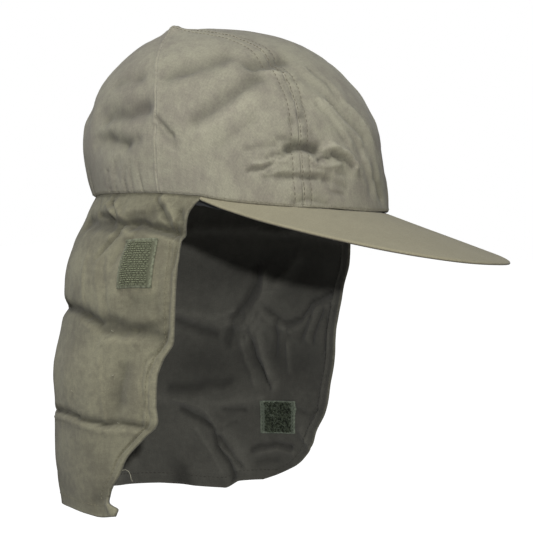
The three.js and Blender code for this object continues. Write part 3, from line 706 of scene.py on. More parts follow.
def stitches(rows, length=2.4, gap=0.9):
    """Short stitches along rows on the cloth: each row is points and the directions out of it."""
    share, height, thick = STITCH.T
    found = []
    for path, outward in rows:
        steps = np.linalg.norm(np.diff(path, axis=0), axis=1)
        reach = np.concatenate([[0], np.cumsum(steps)])
        read = lambda table, at: np.stack([np.interp(at, reach, table[:, i]) for i in range(3)], -1)
        at = gap
        while at + length < reach[-1]:
            places = at + length * share
            up = read(outward, places)
            up /= np.linalg.norm(up, axis=1, keepdims=True)
            line = read(path, places) + up * (THREAD * height - SUNK)[:, None]
            side = np.cross(np.gradient(line, axis=0), up)
            side /= np.maximum(np.linalg.norm(side, axis=1, keepdims=True), 1e-9)
            found.append(tube(line, side, up, THREAD * thick))
            at += length + gap
    return found


def thread_material(name, color, scale=900.0, dark=0.75, light=1.15):
    """Twisted cotton thread with a soft fleck along it."""
    material, n, shader = new_material(name)
    fleck = n.noise(n.add("ShaderNodeTexCoord").outputs["Object"], scale)
    tint = n.grey(n.span(fleck, 0.35, 0.65, dark, light))
    n.feed(shader, {
        "Base Color": n.blend(1.0, linear(*color), tint, "MULTIPLY"),
        "Roughness": 0.8, "Specular IOR Level": 0.2,
    })
    return material


def crown_row(x, y):
    return crown_surface(x, y), dome_out(x, y)


# rings: where the rows beside the seams end, and the row round the crown's lower edge
ROW_END = 0.985
RIM_ROW = 0.991


def beside_seam(line, offset):
    """A row that runs beside a seam on the crown, at a distance in millimetres."""
    x, y = line[:, 0], line[:, 1]
    half = DISC_STEP / 2
    along_x = (dome(x + half, y) - dome(x - half, y)) / DISC_STEP
    along_y = (dome(x, y + half) - dome(x, y - half)) / DISC_STEP
    run = np.gradient(line, axis=0)
    tangent = along_x * run[:, :1] + along_y * run[:, 1:]
    tangent /= np.linalg.norm(tangent, axis=1, keepdims=True)
    aside = np.cross(dome_out(x, y), tangent) * offset
    moved = np.array([
        place + np.linalg.lstsq(np.stack([dx, dy], 1), move, rcond=None)[0]
        for place, dx, dy, move in zip(line, along_x, along_y, aside)])
    return crown_row(*moved[np.hypot(moved[:, 0], moved[:, 1]) < ROW_END].T)


seam_rows = [beside_seam(line, offset) for line in STRIP_LINES for offset in (-5.4, -0.8, 5.2)]
olive_thread = thread_material("Olive thread", (112, 106, 92))
small_piece("cap_crown_topstitch", stitches(seam_rows), olive_thread)

around = np.linspace(-math.pi, math.pi, 700)
rim_row = crown_row(RIM_ROW * np.sin(around), -RIM_ROW * np.cos(around))
rim_thread = thread_material("Rim thread", (146, 142, 125))
small_piece("cap_rim_topstitch", stitches([rim_row], 2.0, 0.8), rim_thread)


# ---- Visor ----
# A stiff board covered on both faces with the same cotton, sewn into the crown's lower edge.
# The cover is stretched smooth and turned round the board's thin outer edge.
# Its lower face, and half of its turned edge, are painted darker than the upper face, as painted shade.
VISOR_THICKNESS = 2.2
VISOR_HALF_WIDTH = 79.0
VISOR_START = 45.0
VISOR_ROUNDNESS = 2.28
VISOR_SIDE_SHARE = 0.93
VISOR_TUCK = 3.1


def visor_edge(side):
    share = np.abs(side)
    turn = np.minimum(share / VISOR_SIDE_SHARE, 1) * math.pi / 2
    x = VISOR_HALF_WIDTH * np.sin(turn) ** (2 / VISOR_ROUNDNESS)
    length = CROWN_HALF_LENGTH + VISOR_REACH - VISOR_START
    forward = VISOR_START + length * np.maximum(np.cos(turn), 0) ** (2 / VISOR_ROUNDNESS)
    end_x, end_y = rim_plan(math.radians(VISOR_END))
    end = np.maximum(share - VISOR_SIDE_SHARE, 0) / (1 - VISOR_SIDE_SHARE)
    return np.sign(side) * mix(x, end_x, end), mix(-forward, end_y, end)


def visor_grid(columns, rows):
    u, v = grid(columns, rows, 0.0)
    v = 1 - (1 - v) ** 1.5
    side = 2 * u - 1
    angle = np.radians(side * VISOR_END)
    rim = dome(np.sin(angle), -np.cos(angle)) - dome_out(np.sin(angle), -np.cos(angle)) * VISOR_TUCK
    edge_x, edge_y = visor_edge(side)
    x, y = mix(rim[..., 0], edge_x, v), mix(rim[..., 1], edge_y, v)
    top = visor_top(x, y)
    top = top + 0.25 * soft_noise(np.stack([x, y, top], -1), 30, 21)
    away = np.hypot(edge_x - x, edge_y - y)
    roll = 0.45 * np.exp(-(away ** 2))
    upper = np.stack([x, y, top - roll], -1)
    lower = np.stack([x, y, top - VISOR_THICKNESS + roll], -1)
    return upper, lower, np.stack([x, y, away], -1)


# The inside colours paint shade on the visor's lower face.
VISOR_CLOTH = cotton(
    "Visor cotton", (153, 147, 122), (160, 153, 128), (140, 134, 110), wear=0.15, blotches=0.4,
    inside=((84, 77, 66), (92, 86, 74), (76, 70, 60)),
)
upper, lower, cloth = visor_grid(200, 60)
# The lower face is marked as lining, so that it takes the painted shade colours.
under = np.ones(cloth.shape[:2])
marks = {"cloth": cloth, "lining": (under * 0, under)}
visor = cloth_shell("cap_visor", upper, lower, marks, rounding=0.35)
fit(visor, VISOR_CLOTH, "visor")


# ---- Sweatband ----
# A charcoal cotton tape, sewn in with the crown's lower edge. It runs all round inside the crown,
# where it rests on the head, and hangs a little below the edge.
BAND_INSET = 3.8
BAND_CLOTH = 1.0
BAND_DROP = 6.0
BAND_TOP = 0.82
BAND_BELOW = 0.07
BAND_LENGTH = 560
BAND_WIDTH = 36


def band_face(u, v, inset):
    angle = 2 * math.pi * u
    reach = mix(BAND_TOP, 1 + BAND_BELOW, v)
    ring = np.minimum(reach, 1)
    x, y = ring * np.sin(angle), -ring * np.cos(angle)
    place = crown_surface(x, y) - dome_out(x, y) * inset
    place[..., 2] -= BAND_DROP * np.maximum(reach - 1, 0) / BAND_BELOW
    return place


u, v = grid(360, 26, 0.5, wraps=True)
band_outer, band_inner = band_face(u, v, BAND_INSET), band_face(u, v, BAND_INSET + BAND_CLOTH)
cloth = np.stack([u * BAND_LENGTH, v * BAND_WIDTH, np.minimum(v, 1 - v) * BAND_WIDTH], -1)
band = cloth_shell("cap_sweatband", band_outer, band_inner, {"cloth": cloth}, rounding=0.5, wraps=True)
tape = cotton("Sweatband tape", (46, 47, 49), (66, 67, 69), (36, 37, 39), pitch=1.3, wear=0.5)
fit(band, tape, "sweatband")


# ---- Neck flap ----
# Two layers of cotton, olive outside and darker inside, sewn together at their turned edges and
# gathered into the crown's edge. It hangs to the shoulders, with the creases of its folding.
FLAP_DROP = 200.0
FLAP_TUCK = 0.035
TUCK_RINGS = 0.045
FLAP_INSET = 1.9

FLAP_THICKNESS = 2.6

# drop, then length, width and back as shares of the crown's half sizes
FLAP_SHAPE = [
    (0.00, 0.985, 0.990, -0.010), (0.06, 1.010, 1.010, 0.015), (0.15, 1.070, 1.060, 0.055),
    (0.26, 1.090, 1.090, 0.085), (0.38, 1.110, 1.110, 0.105), (0.50, 1.120, 1.120, 0.130),
    (0.62, 1.130, 1.130, 0.145), (0.74, 1.135, 1.135, 0.155), (0.82, 1.135, 1.135, 0.155),
    (0.88, 1.135, 1.135, 0.145), (1.00, 1.120, 1.120, 0.120),
]

# drop, inset under the crown's edge, thickness
FLAP_LAYERS = [(0.00, FLAP_INSET, 1.2), (0.06, 0, FLAP_THICKNESS), (1.00, 0, FLAP_THICKNESS)]

# drop, then the angle from the front of the hanging edge on the wearer's right and left
FLAP_EDGES = [
    (0.00, 70.0, 69.5), (0.03, 73.2, 70.6), (0.06, 74.6, 71.2), (0.10, 74.8, 71.4),
    (0.20, 74.2, 71.7), (0.30, 73.7, 75.0), (0.42, 73.2, 77.2), (0.45, 73.0, 77.5),
    (0.51, 76.0, 77.5), (0.57, 77.5, 78.0), (0.65, 77.5, 79.5), (0.70, 76.8, 80.0),
    (0.76, 82.0, 81.8), (0.82, 88.1, 85.2), (0.88, 92.1, 87.7), (0.93, 97.2, 92.1),
    (0.95, 98.0, 94.8), (0.965, 96.0, 98.0), (0.985, 93.6, 103.0), (1.00, 94.4, 108.0),
]

# angle from the back, height of the hem as a share of the drop
FLAP_HEM = [
    (-90, 0.965), (-75, 0.99), (-60, 0.99), (-30, 1.01), (0, 1.01), (30, 1.015), (46, 1.03), (57, 1.035),
    (63, 1.008), (90, 0.985),
]

# The flap's large folds: width as a share of the drop, depth in millimetres, then the angle from
# the back and the drop of each place that the fold runs through.
FLAP_FOLDS = [
    (0.022, 3.4, -52, 0.09, -84, 0.105),
    (0.02, 4.0, -84, 0.105, -104, 0.116),
    (0.022, 3.0, 40, 0.1, 104, 0.115),
    (0.022, 3.0, -30, 0.35, -68, 0.38),
    (0.02, 3.0, -68, 0.38, -103, 0.44),
    (0.024, 2.2, -30, 0.35, 35, 0.4),
    (0.018, 2.2, 37, 0.4, 67, 0.45),
    (0.01, 1.5, -20, 0.69, -69, 0.7),
    (0.009, 1.5, -69, 0.7, -102, 0.724),
    (0.018, 2.0, -20, 0.69, 72, 0.715),
    (0.016, -2.0, -70, 0.05, -85, 0.13),
    (0.022, 1.6, -86, 0.13, -81, 0.21),
    (0.014, 1.6, -95, 0.05, -100, 0.085),
    (0.08, -2.4, -40, 0.24, -96, 0.27),
    (0.1, -2.6, -40, 0.55, -92, 0.58),
    (0.08, -2.0, 20, 0.24, 90, 0.26),
    (0.08, -2.0, 20, 0.56, 88, 0.58),
    (0.018, 2.0, 72, 0.45, 65, 0.52),
    (0.02, 2.6, 65, 0.41, 77, 0.67),
    (0.026, 2.0, 85, 0.21, 70, 0.38),
    (0.022, 2.0, 58, 0.8, 65, 0.95),
    (0.022, -3.5, -85, 0.99, -84, 0.965),
    (0.04, 3.0, 14, 0.95, 12, 1.02),
    (0.035, -3.0, 40, 0.95, 41, 1.02),
]

# Finer creases and gathers, written in the same way.
FLAP_CREASES = [
    (0.007, 2.4, -66.5, 0.025, -72.5, 0.06, -78, 0.095, -78, 0.13, -75, 0.165, -71, 0.2),
    (0.007, -1.4, -64, 0.03, -70, 0.065, -75, 0.1, -75, 0.14),
    (0.006, -1.0, -70, 0.03, -76, 0.062, -81, 0.088),
    (0.008, 3.0, -60, 0.06, -71.5, 0.08, -78.5, 0.09, -86.5, 0.09, -91.5, 0.1, -98, 0.11, -104, 0.12),
    (0.01, -1.4, -80, 0.114, -88, 0.117, -96, 0.131, -103, 0.143),
    (0.014, -1.4, -79, 0.055, -88, 0.055),
    (0.006, 2.0, -91.5, 0.02, -96, 0.06, -99, 0.09, -101, 0.11),
    (0.008, -1.4, -94.5, 0.015, -99, 0.05, -101.5, 0.08),
    (0.01, 2.4, -103, 0.055, -104.5, 0.085, -105, 0.12),
    (0.006, 0.9, -56, 0.02, -60, 0.06),
    (0.006, -0.8, -50, 0.02, -53, 0.07),
    (0.006, 1.8, -103.5, 0.12, -105, 0.155, -104.5, 0.22, -104.5, 0.285, -105, 0.375, -105, 0.42),
    (0.007, 1.2, -105, 0.42, -102.5, 0.485, -98.5, 0.52, -97.5, 0.575, -98.5, 0.66, -98, 0.7),
    (0.009, 2.6, -43.5, 0.35, -64, 0.37, -75.5, 0.4, -77.5, 0.415),
    (0.009, -1.2, -46, 0.373, -64, 0.393, -73, 0.42),
    (0.011, 2.8, -78.5, 0.425, -87.5, 0.435, -93, 0.43),
    (0.02, 2.0, -93, 0.428, -98, 0.412, -103, 0.39),
    (0.01, -1.2, -80, 0.455, -88, 0.463, -95, 0.458),
    (0.014, -0.6, -71.5, 0.195, -74.5, 0.295, -77, 0.38),
    (0.012, 0.6, -75.5, 0.2, -78.5, 0.3, -81, 0.38),
    (0.01, -0.8, -64, 0.2, -66, 0.33),
    (0.0055, 2.8, -43, 0.69, -58, 0.694, -73, 0.7, -87, 0.72, -98, 0.722),
    (0.008, -1.2, -43, 0.71, -73, 0.72, -87, 0.741, -97, 0.743),
    (0.014, 0.9, -86, 0.6, -88.5, 0.705),
    (0.006, -0.5, -79, 0.47, -83, 0.7),
    (0.008, 0.4, -81.5, 0.5, -85, 0.68),
    (0.045, 3.4, -90, 0.56, -88, 0.65),
    (0.04, 2.4, -91, 0.34, -99, 0.33),
    (0.02, 1.6, -100, 0.25, -101, 0.36),
    (0.025, 1.4, -92, 0.065, -82, 0.07),
    (0.008, 2.4, -87.5, 0.935, -88, 0.965, -90, 0.995),
    (0.03, 1.4, -76, 0.96, -83, 0.94),
    (0.012, -2.6, 67.5, 0.24, 67.5, 0.3, 64, 0.37, 59.5, 0.42, 58.5, 0.51),
    (0.012, 2.2, 71, 0.26, 71, 0.33, 67.5, 0.4, 63, 0.46),
    (0.007, 1.8, 38.5, 0.395, 49.5, 0.41, 54.5, 0.405, 60, 0.39),
    (0.012, -2.0, 37, 0.43, 46, 0.452, 54, 0.475),
    (0.006, -2.0, 71, 0.385, 75, 0.415, 81, 0.445),
    (0.008, 1.5, 70, 0.405, 75, 0.44, 81, 0.466),
    (0.007, -2.2, 81, 0.445, 87, 0.42, 90.5, 0.365, 99.5, 0.32),
    (0.009, 1.5, 83, 0.47, 90, 0.44, 94, 0.385, 101, 0.345),
    (0.01, 1.8, 71, 0.4, 69, 0.44, 66, 0.49),
    (0.006, -2.6, 66.5, 0.485, 68.5, 0.54, 70.5, 0.595, 76, 0.675),
    (0.009, 1.8, 70, 0.48, 72.5, 0.55, 75, 0.62),
    (0.01, 1.5, 63.5, 0.5, 66, 0.58, 70, 0.66),
    (0.011, -2.2, 76.5, 0.44, 77, 0.49, 76.5, 0.56),
    (0.008, -1.6, 92, 0.5, 94, 0.44, 96, 0.385),
    (0.008, -1.4, 86.5, 0.5, 91, 0.415),
    (0.008, 1.3, 89.5, 0.5, 93, 0.42),
    (0.01, -1.3, 97.5, 0.53, 98.5, 0.42),
    (0.009, 1.2, 82, 0.52, 83, 0.62),
    (0.014, -2.2, 38, 0.665, 46.5, 0.66, 53, 0.645, 60, 0.64),
    (0.009, 2.4, 38, 0.7, 46.5, 0.715, 52, 0.74, 55.5, 0.81),
    (0.008, -3.0, 42, 0.74, 49, 0.765, 54.5, 0.8, 55.5, 0.86, 60, 0.92, 60.5, 0.985),
    (0.007, -2.0, 56.5, 0.83, 60, 0.89, 64, 0.95),
    (0.007, 1.7, 57, 0.86, 60.5, 0.91, 62.5, 0.96),
    (0.012, 1.5, 48, 0.8, 51.5, 0.86, 56, 0.94),
    (0.007, -1.8, 57.5, 0.73, 62.5, 0.75, 66, 0.75),
    (0.006, -1.3, 54.5, 0.8, 62.5, 0.795),
    (0.008, -2.0, 68, 0.895, 72, 0.882, 77.5, 0.875, 83.5, 0.885),
    (0.01, 1.2, 70, 0.912, 78, 0.897, 84, 0.907),
    (0.01, -1.2, 86, 0.75, 92, 0.77, 96, 0.74),
    (0.012, 1.3, 88, 0.82, 92, 0.88),
    (0.012, -1.2, 70, 0.94, 77, 0.93),
    (0.02, 1.4, 0, 0.2, 12, 0.33),
    (0.018, 1.4, -20, 0.5, -12, 0.64),
    (0.016, 1.6, 10, 0.78, 22, 0.92),
    (0.016, 1.4, -30, 0.8, -42, 0.93),
    (0.012, -1.6, -12, 0.02, -14, 0.1),
    (0.012, -1.6, 18, 0.02, 20, 0.09),
    (0.012, 1.4, 2, 0.02, 0, 0.08),
    (0.014, 1.8, -20, 0.1, 5, 0.115, 30, 0.1),
]
FLAP_TURN = 0.57
FLAP_ARC = FLAP_TURN * FLAP_DROP
FLAP_STEP = 0.008
LEFT_SIDE, LEFT_DEEPER = 0.6, 1.35

# the stitched groove of the flap's turned front edges, in millimetres
GROOVE_IN, GROOVE_WIDTH, GROOVE_DEPTH = 5.2, 1.1, 1.3


def on_flap(degrees, drop):
    return FLAP_TURN * math.radians(degrees), drop


def flap_chart(angle, drop):
    """The flap's cloth laid flat, in millimetres."""
    return np.stack([FLAP_TURN * angle * FLAP_DROP, drop * FLAP_DROP, angle * 0], -1)


def flap_creases(angle, drop):
    chart = flap_chart(angle, drop)
    around = FLAP_TURN * angle + wandering(chart, 0.006, 57)
    down = drop + wandering(chart, 0.005, 59)
    folds = folds_at(around, down, FLAP_FOLDS, on_flap) * (1 + 0.3 * soft_noise(chart, 16, 61))
    deeper = np.where(angle > LEFT_SIDE, LEFT_DEEPER, 1.0)
    return folds + folds_at(around, down, FLAP_CREASES, on_flap, 1.5) * deeper


def flap_dent(angle, drop):
    """All that moves the flap's cloth off its smooth form, in millimetres toward the neck."""
    chart = flap_chart(angle, drop)
    to_edge = np.minimum(angle - flap_angle(0.0, drop), flap_angle(1.0, drop) - angle) * FLAP_ARC
    groove = np.exp(-(((to_edge - GROOVE_IN) / GROOVE_WIDTH) ** 2))
    groove = groove * np.clip((drop - 0.04) * 20, 0, 1) * np.clip((0.9 - drop) * 12, 0, 1)
    depth = flap_creases(angle, drop) + GROOVE_DEPTH * groove
    depth = depth + 0.6 * soft_noise(chart, 26, 8) + 0.22 * soft_noise(chart, 8, 9)
    gather = soft_noise(chart * np.array([1.0, 0.12, 1.0]), 6, 10)
    return depth + 0.8 * gather * np.exp(-((np.maximum(drop, 0) / 0.05) ** 2))


def hanging(angle, drop):
    """A place on the flap's smooth outer face, by the angle from the back and the drop."""
    length, width, back = (read_rows(FLAP_SHAPE, i, drop) for i in (1, 2, 3))
    inset = read_rows(FLAP_LAYERS, 1, drop)
    rim_out = dome_out(np.sin(angle), np.cos(angle))
    x = CROWN_HALF_WIDTH * width * np.sin(angle) - rim_out[..., 0] * inset
    y = CROWN_HALF_LENGTH * (back + length * np.cos(angle)) - rim_out[..., 1] * inset
    hem = -FLAP_DROP * read_rows(FLAP_HEM, 1, np.degrees(angle))
    return np.stack([x, y, mix(rim_height(math.pi - angle), hem, drop)], -1)


def flap_out(angle, drop):
    """The direction out of the flap, away from the neck."""
    return square_to(hanging, angle, np.maximum(drop, 0.005), FLAP_STEP)


def flap_layer(angle, drop, inset):
    """A place under the flap's outer face, which is tucked into the crown above its edge."""
    down = np.maximum(drop, 0)
    hung = hanging(angle, down) - flap_out(angle, down) * (flap_dent(angle, down) + inset)[..., None]
    ring = 1 + TUCK_RINGS * np.minimum(drop, 0) / FLAP_TUCK
    x, y = ring * np.sin(angle), ring * np.cos(angle)
    tucked = dome(x, y) - dome_out(x, y) * (FLAP_INSET + inset)[..., None]
    return np.where((drop < 0)[..., None], tucked, hung)


def flap_angle(u, drop):
    right, left = read_rows(FLAP_EDGES, 1, drop), read_rows(FLAP_EDGES, 2, drop)
    return np.radians(mix(right - 180, 180 - left, u))


def flap_grid(columns, rows):
    u, v = grid(columns, rows, 0.6)
    drop = mix(-FLAP_TUCK, 1.0, v)
    angle = flap_angle(u, drop)
    thick = read_rows(FLAP_LAYERS, 2, drop)
    outer, inner = flap_layer(angle, drop, thick * 0), flap_layer(angle, drop, thick)
    to_side = np.minimum(u, 1 - u) * FLAP_ARC * np.ptp(angle, axis=1)[:, None]
    edge = np.minimum(to_side, (1 - drop) * FLAP_DROP)
    cloth = np.stack([angle * FLAP_ARC, drop * FLAP_DROP, edge], -1)
    return outer, inner, cloth, flap_creases(angle, np.maximum(drop, 0))


# The outer colours are darker than the crown's cotton, as painted shade for the flap's face turned down and
# away from the light; the inside colours are the lining's own.
FLAP_CLOTH = cotton(
    "Flap cotton", (131, 128, 106), (152, 148, 127), (102, 98, 82), wear=0.3, blotches=0.8,
    inside=((84, 83, 76), (96, 95, 86), (72, 71, 65)),
)
outer, inner, cloth, crease_shade = flap_grid(330, 148)
inside = np.ones(cloth.shape[:2])
# The fold depth, turned over for the lining, paints shade in fold valleys and highlight on fold ridges on
# both faces.
marks = {"cloth": cloth, "lining": (inside * 0, inside), "crease_shade": (crease_shade, -crease_shade)}
flap = cloth_shell("cap_neck_flap", outer, inner, marks, rounding=0.35)
fit(flap, FLAP_CLOTH, "neck_flap")


# ---- Flap stitching, tacks and a loose thread ----
# Cotton sewing thread, olive outside and dark on the lining. A stitch row holds the turned hem all
# round, a few small tacks hold the two layers together, and one thread has come loose.
DEGREE = 2.0
ROW_STEP = 0.8


def flap_row(points, lining=False):
    """A row on the flap, from places by angle from the back in degrees and drop."""
    table = np.array(points, float)
    steps = np.hypot(np.diff(table[:, 0]) * DEGREE, np.diff(table[:, 1]) * FLAP_DROP)
    reach = np.concatenate([[0], np.cumsum(steps)])
    at = np.linspace(0, reach[-1], max(int(reach[-1] / ROW_STEP), 12))
    angle = np.radians(np.interp(at, reach, table[:, 0]))
    drop = np.interp(at, reach, table[:, 1])
    face = flap_layer(angle, drop, angle * 0 + (FLAP_THICKNESS if lining else 0.0))
    return face, flap_out(angle, drop) * (-1 if lining else 1)


HEM_WIDTH = 6.5
HEM = HEM_WIDTH / FLAP_DROP
HEM_TURN = math.degrees(HEM_WIDTH / FLAP_ARC)
drops = np.linspace(0.04, 1 - HEM, 40)
right_hem = [(read_rows(FLAP_EDGES, 1, d) - 180 + HEM_TURN, d) for d in drops]
left_hem = [(180 - read_rows(FLAP_EDGES, 2, d) - HEM_TURN, d) for d in drops]
low_hem = [(a, 1 - HEM) for a in np.linspace(right_hem[-1][0], left_hem[-1][0], 60)]
hem = right_hem + low_hem[1:-1] + left_hem[::-1]
for name, lining, thread in (
    ("cap_flap_topstitch", False, thread_material("Flap thread", (124, 120, 100))),
    ("cap_flap_inner_stitch", True, thread_material("Lining thread", (70, 68, 61))),
):
    small_piece(name, stitches([flap_row(hem, lining)], 2.2), thread)


def free_tube(path, radius, sides=6):
    """A tube along a path that need not lie on the cloth."""
    along = np.gradient(path, axis=0)
    along /= np.linalg.norm(along, axis=1, keepdims=True)
    side = np.cross(along, (0.3, 0.2, 0.9))
    side /= np.linalg.norm(side, axis=1, keepdims=True)
    return tube(path, side, np.cross(side, along), radius, sides)


def curl(start, steps, seed, wander):
    """A loose thread's path: it starts at a point and drifts through a few steps."""
    rng = np.random.default_rng(seed)
    path = [np.array(start, float)]
    for step in steps:
        path.append(path[-1] + np.array(step, float) + rng.uniform(-wander, wander, 3))
    knots = np.arange(len(path))
    at = np.linspace(0, len(path) - 1, len(path) * 8)
    return np.stack([np.interp(at, knots, np.array(path)[:, i]) for i in range(3)], -1)


def flap_spot(angle, drop, lift=0.0):
    """One place on the flap's outer face and the way out from it."""
    face, out = flap_row([(angle, drop), (angle + 0.5, drop)])
    return face[0] + out[0] * lift, out[0]


# angle from the back, drop and lean of each tack, then the half loop that each one makes
TACKS = ((-82, 0.425, 0.4), (-86, 0.565, -0.5), (-88, 0.715, 0.2), (-66, 0.62, 0.9))
TACK_LOOP = ((-0.9, -0.3), (-0.4, 0.5), (0.3, 0.6), (0.9, -0.2))

threads = []
for angle, drop, lean in TACKS:
    spot, out = flap_spot(angle, drop, 0.1)
    side = np.cross(out, (0, 0, 1))
    threads.append(free_tube(np.array([
        spot + side * (a * math.cos(lean)) + out * b + np.array([0, 0, a * math.sin(lean)])
        for a, b in TACK_LOOP]), 0.28))
start, _ = flap_spot(-88.5, 0.868, -1.2)
forward = np.array([0.616, -0.788, 0.0])
steps = [(1.6, 1.2), (2.0, 0.4), (2.0, -1.0), (1.2, -2.4), (0.4, -2.6), (0.9, -1.4)]
loose = curl(start, [forward * along + np.array([0, 0, rise]) for along, rise in steps], 41, 0.25)
threads.append(free_tube(loose, THREAD))
small_piece("cap_flap_tacks", threads, thread_material("Pale thread", (150, 147, 130)))


# ---- Fastener patches ----
# Woven nylon tape, cut to a rectangle and stitched round its edge. The hook patch outside has
# lengthwise ribs of small stiff hooks; the loop patch inside has a soft dark pile.
# angle from the back, drop, lean, width and height, then how deep its two faces lie under the flap's
# outer face
HOOKS = (-91.3, 0.217, math.radians(3.0), 27.0, 30.0, (-1.1, -0.05))
LOOPS = (79.4, 0.78, 0.0, 27.6, 23.0, (3.7, 2.65))


def on_patch(patch, u, v, inset):
    """A place on a patch by its shares of width and height, under the flap's outer face."""
    degrees, middle, lean, width, height, _ = patch
    across, down = (u - 0.5) * width, (v - 0.5) * height
    turned_across = across * math.cos(lean) - down * math.sin(lean)
    turned_down = across * math.sin(lean) + down * math.cos(lean)
    angle = math.radians(degrees) + turned_across / FLAP_ARC
    return flap_layer(angle, middle + turned_down / FLAP_DROP, inset + angle * 0)


def patch_tape(name, node, patch, material):
    u, v = np.meshgrid(np.linspace(0, 1, 40), np.linspace(0, 1, 48))
    width, height, insets = patch[3:]
    outer, inner = (on_patch(patch, u, v, inset) for inset in insets)
    edge = np.minimum(np.minimum(u, 1 - u) * width, np.minimum(v, 1 - v) * height)
    cloth = np.stack([u * width, v * height, edge], -1)
    fit(cloth_shell(name, outer, inner, {"cloth": cloth}, rounding=0.3), material, node)


def patch_border(patch, margin=1.4):
    """Rows for the stitches round a patch."""
    width, height, insets = patch[3:]
    left, top = margin / width, margin / height
    corners = [(left, top), (1 - left, top), (1 - left, 1 - top), (left, 1 - top), (left, top)]
    outward = math.copysign(1, insets[0])
    rows = []
    for (u0, v0), (u1, v1) in zip(corners, corners[1:]):
        u, v = np.linspace(u0, u1, 40), np.linspace(v0, v1, 40)
        face = on_patch(patch, u, v, insets[0])
        rows.append((face, on_patch(patch, u, v, insets[0] + outward) - face))
    return rows


def hooks(rows=20, columns=11):
    """Rows of bent hooks across the tape."""
    rng = np.random.default_rng(31)
    row, column = np.meshgrid(np.arange(rows), np.arange(columns), indexing="ij")
    u = 0.12 + 0.76 * (column.ravel() + rng.uniform(0.3, 0.7, row.size)) / columns
    v = 0.045 + 0.91 * (row.ravel() + 0.5) / rows
    reach = 0.035 * rng.choice([-1, 1], (row.size, 1))
    high = rng.uniform(0.9, 1.1, (row.size, 1))
    aside = reach * np.array([0, 0, 0.5, 1.0, 1.15])
    lift = high * np.array([0, 0.8, 1.15, 0.95, 0.55]) - np.array([0.1, 0, 0, 0, 0])
    lines = on_patch(HOOKS, u[:, None] + aside, v[:, None], HOOKS[-1][0] - lift)
    return [free_tube(line, 0.27, 5) for line in lines]


def pile(count=1200):
    """Small loops that stand in a soft pile, between the tape's bare sides."""
    rng = np.random.default_rng(37)
    u, v = rng.uniform(0.14, 0.9, (count, 1)), rng.uniform(0.04, 0.96, (count, 1))
    turn = rng.uniform(0, 2 * math.pi, (count, 1))
    share = np.array([-0.5, -0.8, 0.0, 0.8, 0.5])
    u, v = u + 0.03 * np.cos(turn) * share, v + 0.032 * np.sin(turn) * share
    lift = rng.uniform(0.6, 1.2, (count, 1)) * np.array([0, 0.7, 1.0, 0.7, 0])
    return [free_tube(line, 0.16, 4) for line in on_patch(LOOPS, u, v, 3.6 + lift)]


hook_tape = cotton(
    "Hook tape", (98, 100, 80), (132, 136, 114), (80, 83, 65), pitch=1.0, wear=0.9, blotches=0.4,
)
loop_tape = cotton(
    "Loop tape", (96, 104, 90), (124, 132, 116), (80, 88, 75), pitch=1.0, wear=0.8, blotches=0.4,
)
patch_tape("cap_hook_patch", "hook_patch", HOOKS, hook_tape)
patch_tape("cap_loop_patch", "loop_patch", LOOPS, loop_tape)
for name, parts, slot, material in (
    ("cap_hook_rows", hooks(), "hook_nylon", thread_material("Nylon hooks", (138, 143, 117))),
    ("cap_loop_pile", pile(), "loop_nylon", thread_material("Nylon pile", (62, 68, 55), 600.0, 0.45, 2.1)),
    ("cap_hook_stitch", stitches(patch_border(HOOKS), 1.8, 0.7), "hook_nylon",
     thread_material("Hook thread", (118, 120, 100))),
    ("cap_loop_stitch", stitches(patch_border(LOOPS), 1.8, 0.7), "loop_nylon",
     thread_material("Loop thread", (72, 78, 66))),
):
    small_piece(name, parts, material)


# ---- Floor, light and camera ----
# The cap is held up in the air over a pale floor, as worn. Three soft studio lamps stand before it,
# above it and to its side, and the backdrop is plain white.
CAMERA_TURN, CAMERA_LIFT, CAMERA_AWAY = math.radians(52), math.radians(3.35), 1.230
TARGET = Vector((0.01866 * math.cos(CAMERA_TURN), -0.01866 * math.sin(CAMERA_TURN), -0.0432))
FLOOR_HALF, FLOOR_HEIGHT = 6, -0.42


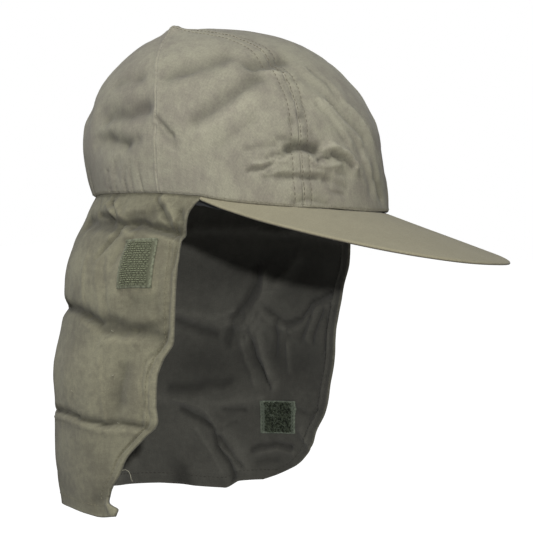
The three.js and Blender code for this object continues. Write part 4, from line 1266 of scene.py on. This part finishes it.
def aimed(name, data, turn, lift, away):
    """Puts a lamp or the camera round the cap, by angles from the camera's, and turns it to the cap."""
    a, e = CAMERA_TURN + math.radians(turn), CAMERA_LIFT + math.radians(lift)
    way = Vector((-math.sin(a) * math.cos(e), -math.cos(a) * math.cos(e), math.sin(e)))
    holder = new_object(name, data)
    holder.location = TARGET + away * way
    holder.rotation_euler = (TARGET - holder.location).to_track_quat("-Z", "Y").to_euler()
    return holder


floor_mesh = bpy.data.meshes.new("floor")
corners = [(x * FLOOR_HALF, y * FLOOR_HALF, FLOOR_HEIGHT) for x, y in ((-1, -1), (1, -1), (1, 1), (-1, 1))]
floor_mesh.from_pydata(corners, [], [(0, 1, 2, 3)])
pale, n, shader = new_material("Pale floor")
uneven = n.noise(n.add("ShaderNodeTexCoord").outputs["Object"], 3.0)
n.feed(shader, {
    "Base Color": n.grey(n.span(uneven, 0.3, 0.7, 0.34, 0.36)),
    "Roughness": 0.9,
    "Emission Color": (1, 1, 1, 1),
    "Emission Strength": n.add("ShaderNodeLightPath").outputs["Is Camera Ray"],
})
floor_mesh.materials.append(pale)
floor = new_object("floor", floor_mesh)

# turn, lift and distance from the cap, size, power
for name, turn, lift, away, size, power in (
    ("key", -5, 7.5, 2.4, 0.07, 30), ("top", 20, 56, 1.9, 0.6, 17), ("side", 72, 12, 2.2, 0.9, 6),
):
    lamp = bpy.data.lights.new(name, "AREA")
    lamp.shape = "DISK"
    lamp.size = size
    lamp.energy = power
    aimed(name, lamp, turn, lift, away)

world = bpy.data.worlds.new("studio")
world.use_nodes = True
bpy.context.scene.world = world
n = Nodes(world.node_tree)
seen = n.add("ShaderNodeLightPath").outputs["Is Camera Ray"]
n.feed(world.node_tree.nodes["Background"], {
    "Color": (1, 1, 1, 1),
    "Strength": n.math("MULTIPLY_ADD", seen, 0.87, 0.13),
})
bpy.context.scene.view_settings.view_transform = "Standard"

lens = bpy.data.cameras.new("camera")
lens.sensor_width = 36
lens.lens = 127.8
bpy.context.scene.camera = aimed("camera", lens, 0, 0, CAMERA_AWAY)
